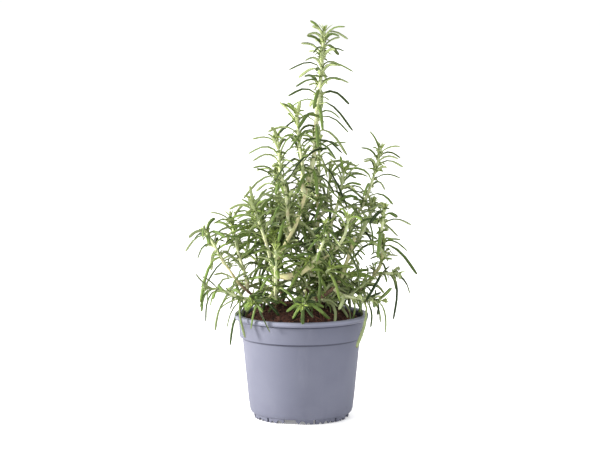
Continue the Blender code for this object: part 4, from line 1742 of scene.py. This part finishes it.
@dataclass
class Studio:
    """The pale floor, the soft lights and the camera.

    Args:
        distance: how far the camera stands from the pot's axis.
        camera_height: the camera's height.
        aim: the point that it looks at.
        lens: its focal length in millimetres.
        world: how bright the surround is.
        key_power: the power of the light from the left.
        fill_share: the right light's power as a share of it.
        overhead: the strength of the light from above.
        lamp_colour: the colour of both side lights.
        lit_height: the height on the axis that they face.
    """

    distance: float = 2.772
    camera_height: float = 0.5267
    aim: tuple[float, float, float] = (-0.0013, 0.0, 0.1867)
    lens: float = 174.0
    world: float = 1.03
    key_power: float = 102.0
    fill_share: float = 0.03
    overhead: float = 1.2
    lamp_colour: Colour = (1.0, 0.965, 0.90)
    lit_height: float = 0.16

    def build(self) -> None:
        """Sets everything that isn't part of the plant."""
        self.floor()
        self.lights()
        self.camera()
        scene = bpy.context.scene
        scene.view_settings.view_transform = "Standard"
        scene.view_settings.look = "None"

    def floor(self) -> None:
        """A wide pale floor under the foot."""
        shape = bmesh.new()
        bmesh.ops.create_grid(shape, x_segments=2, y_segments=2, size=6.0)
        floor = solid("studio_floor", shape, Sweepings())
        floor.location.z = -0.0002
        if floor.data.polygons[0].normal.z < 0:
            floor.data.flip_normals()

    def lights(self) -> None:
        """An even white surround, a large soft light from the left and a weak one from the right."""
        world = bpy.data.worlds.new("surround")
        bpy.context.scene.world = world
        world.use_nodes = True
        back = world.node_tree.nodes["Background"]
        back.inputs["Color"].default_value = (1, 1, 1, 1)
        back.inputs["Strength"].default_value = self.world
        self.lamp("key", (-2.05, -0.24, 0.62), 0.55, self.key_power)
        top = bpy.data.objects.new("overhead", bpy.data.lights.new("overhead", "SUN"))
        top.data.energy, top.data.angle = self.overhead, math.radians(70)
        bpy.context.scene.collection.objects.link(top)
        self.lamp("fill", (2.0, -0.9, 0.7), 0.8, self.key_power * self.fill_share)

    def lamp(self, name: str, place: tuple[float, float, float], size: float, power: float) -> None:
        """A square soft light that faces the plant."""
        data = bpy.data.lights.new(name, "AREA")
        data.shape, data.size, data.energy, data.color = "SQUARE", size, power, self.lamp_colour
        lamp = bpy.data.objects.new(name, data)
        lamp.location = place
        towards = Vector((0, 0, self.lit_height)) - Vector(place)
        lamp.rotation_euler = towards.to_track_quat("-Z", "Y").to_euler()
        bpy.context.scene.collection.objects.link(lamp)

    def camera(self) -> None:
        """A long lens a little above the rim, level with the foliage."""
        data = bpy.data.cameras.new("camera")
        data.lens, data.sensor_width, data.dof.use_dof = self.lens, 36.0, False
        data.clip_start, data.clip_end = 0.05, 50.0
        camera = bpy.data.objects.new("camera", data)
        place = Vector((self.aim[0], -self.distance, self.camera_height))
        camera.location = place
        camera.rotation_euler = (Vector(self.aim) - place).to_track_quat("-Z", "Y").to_euler()
        bpy.context.scene.collection.objects.link(camera)
        bpy.context.scene.camera = camera


def main() -> None:
    """Builds the plant piece by piece, then the studio."""
    logging.basicConfig(level=logging.INFO, format="%(message)s")
    tools = Toolbox()
    Pot().build()
    Compost("compost", tools).build()
    for node in sorted(frame["nodes"]):
        if node.endswith("_stem") or node == "crossing_branch":
            chance = BARE_STEM_SPURS if node == "main_stem" else LEAFY_STEM_SPURS
            WoodyStem(node, tools, cut=node in PRUNED_STEMS, spur_chance=chance).build()
        elif "shoot" in node:
            LeafyShoot(node, tools).build()
    Studio().build()


if __name__ == "__main__":
    main()
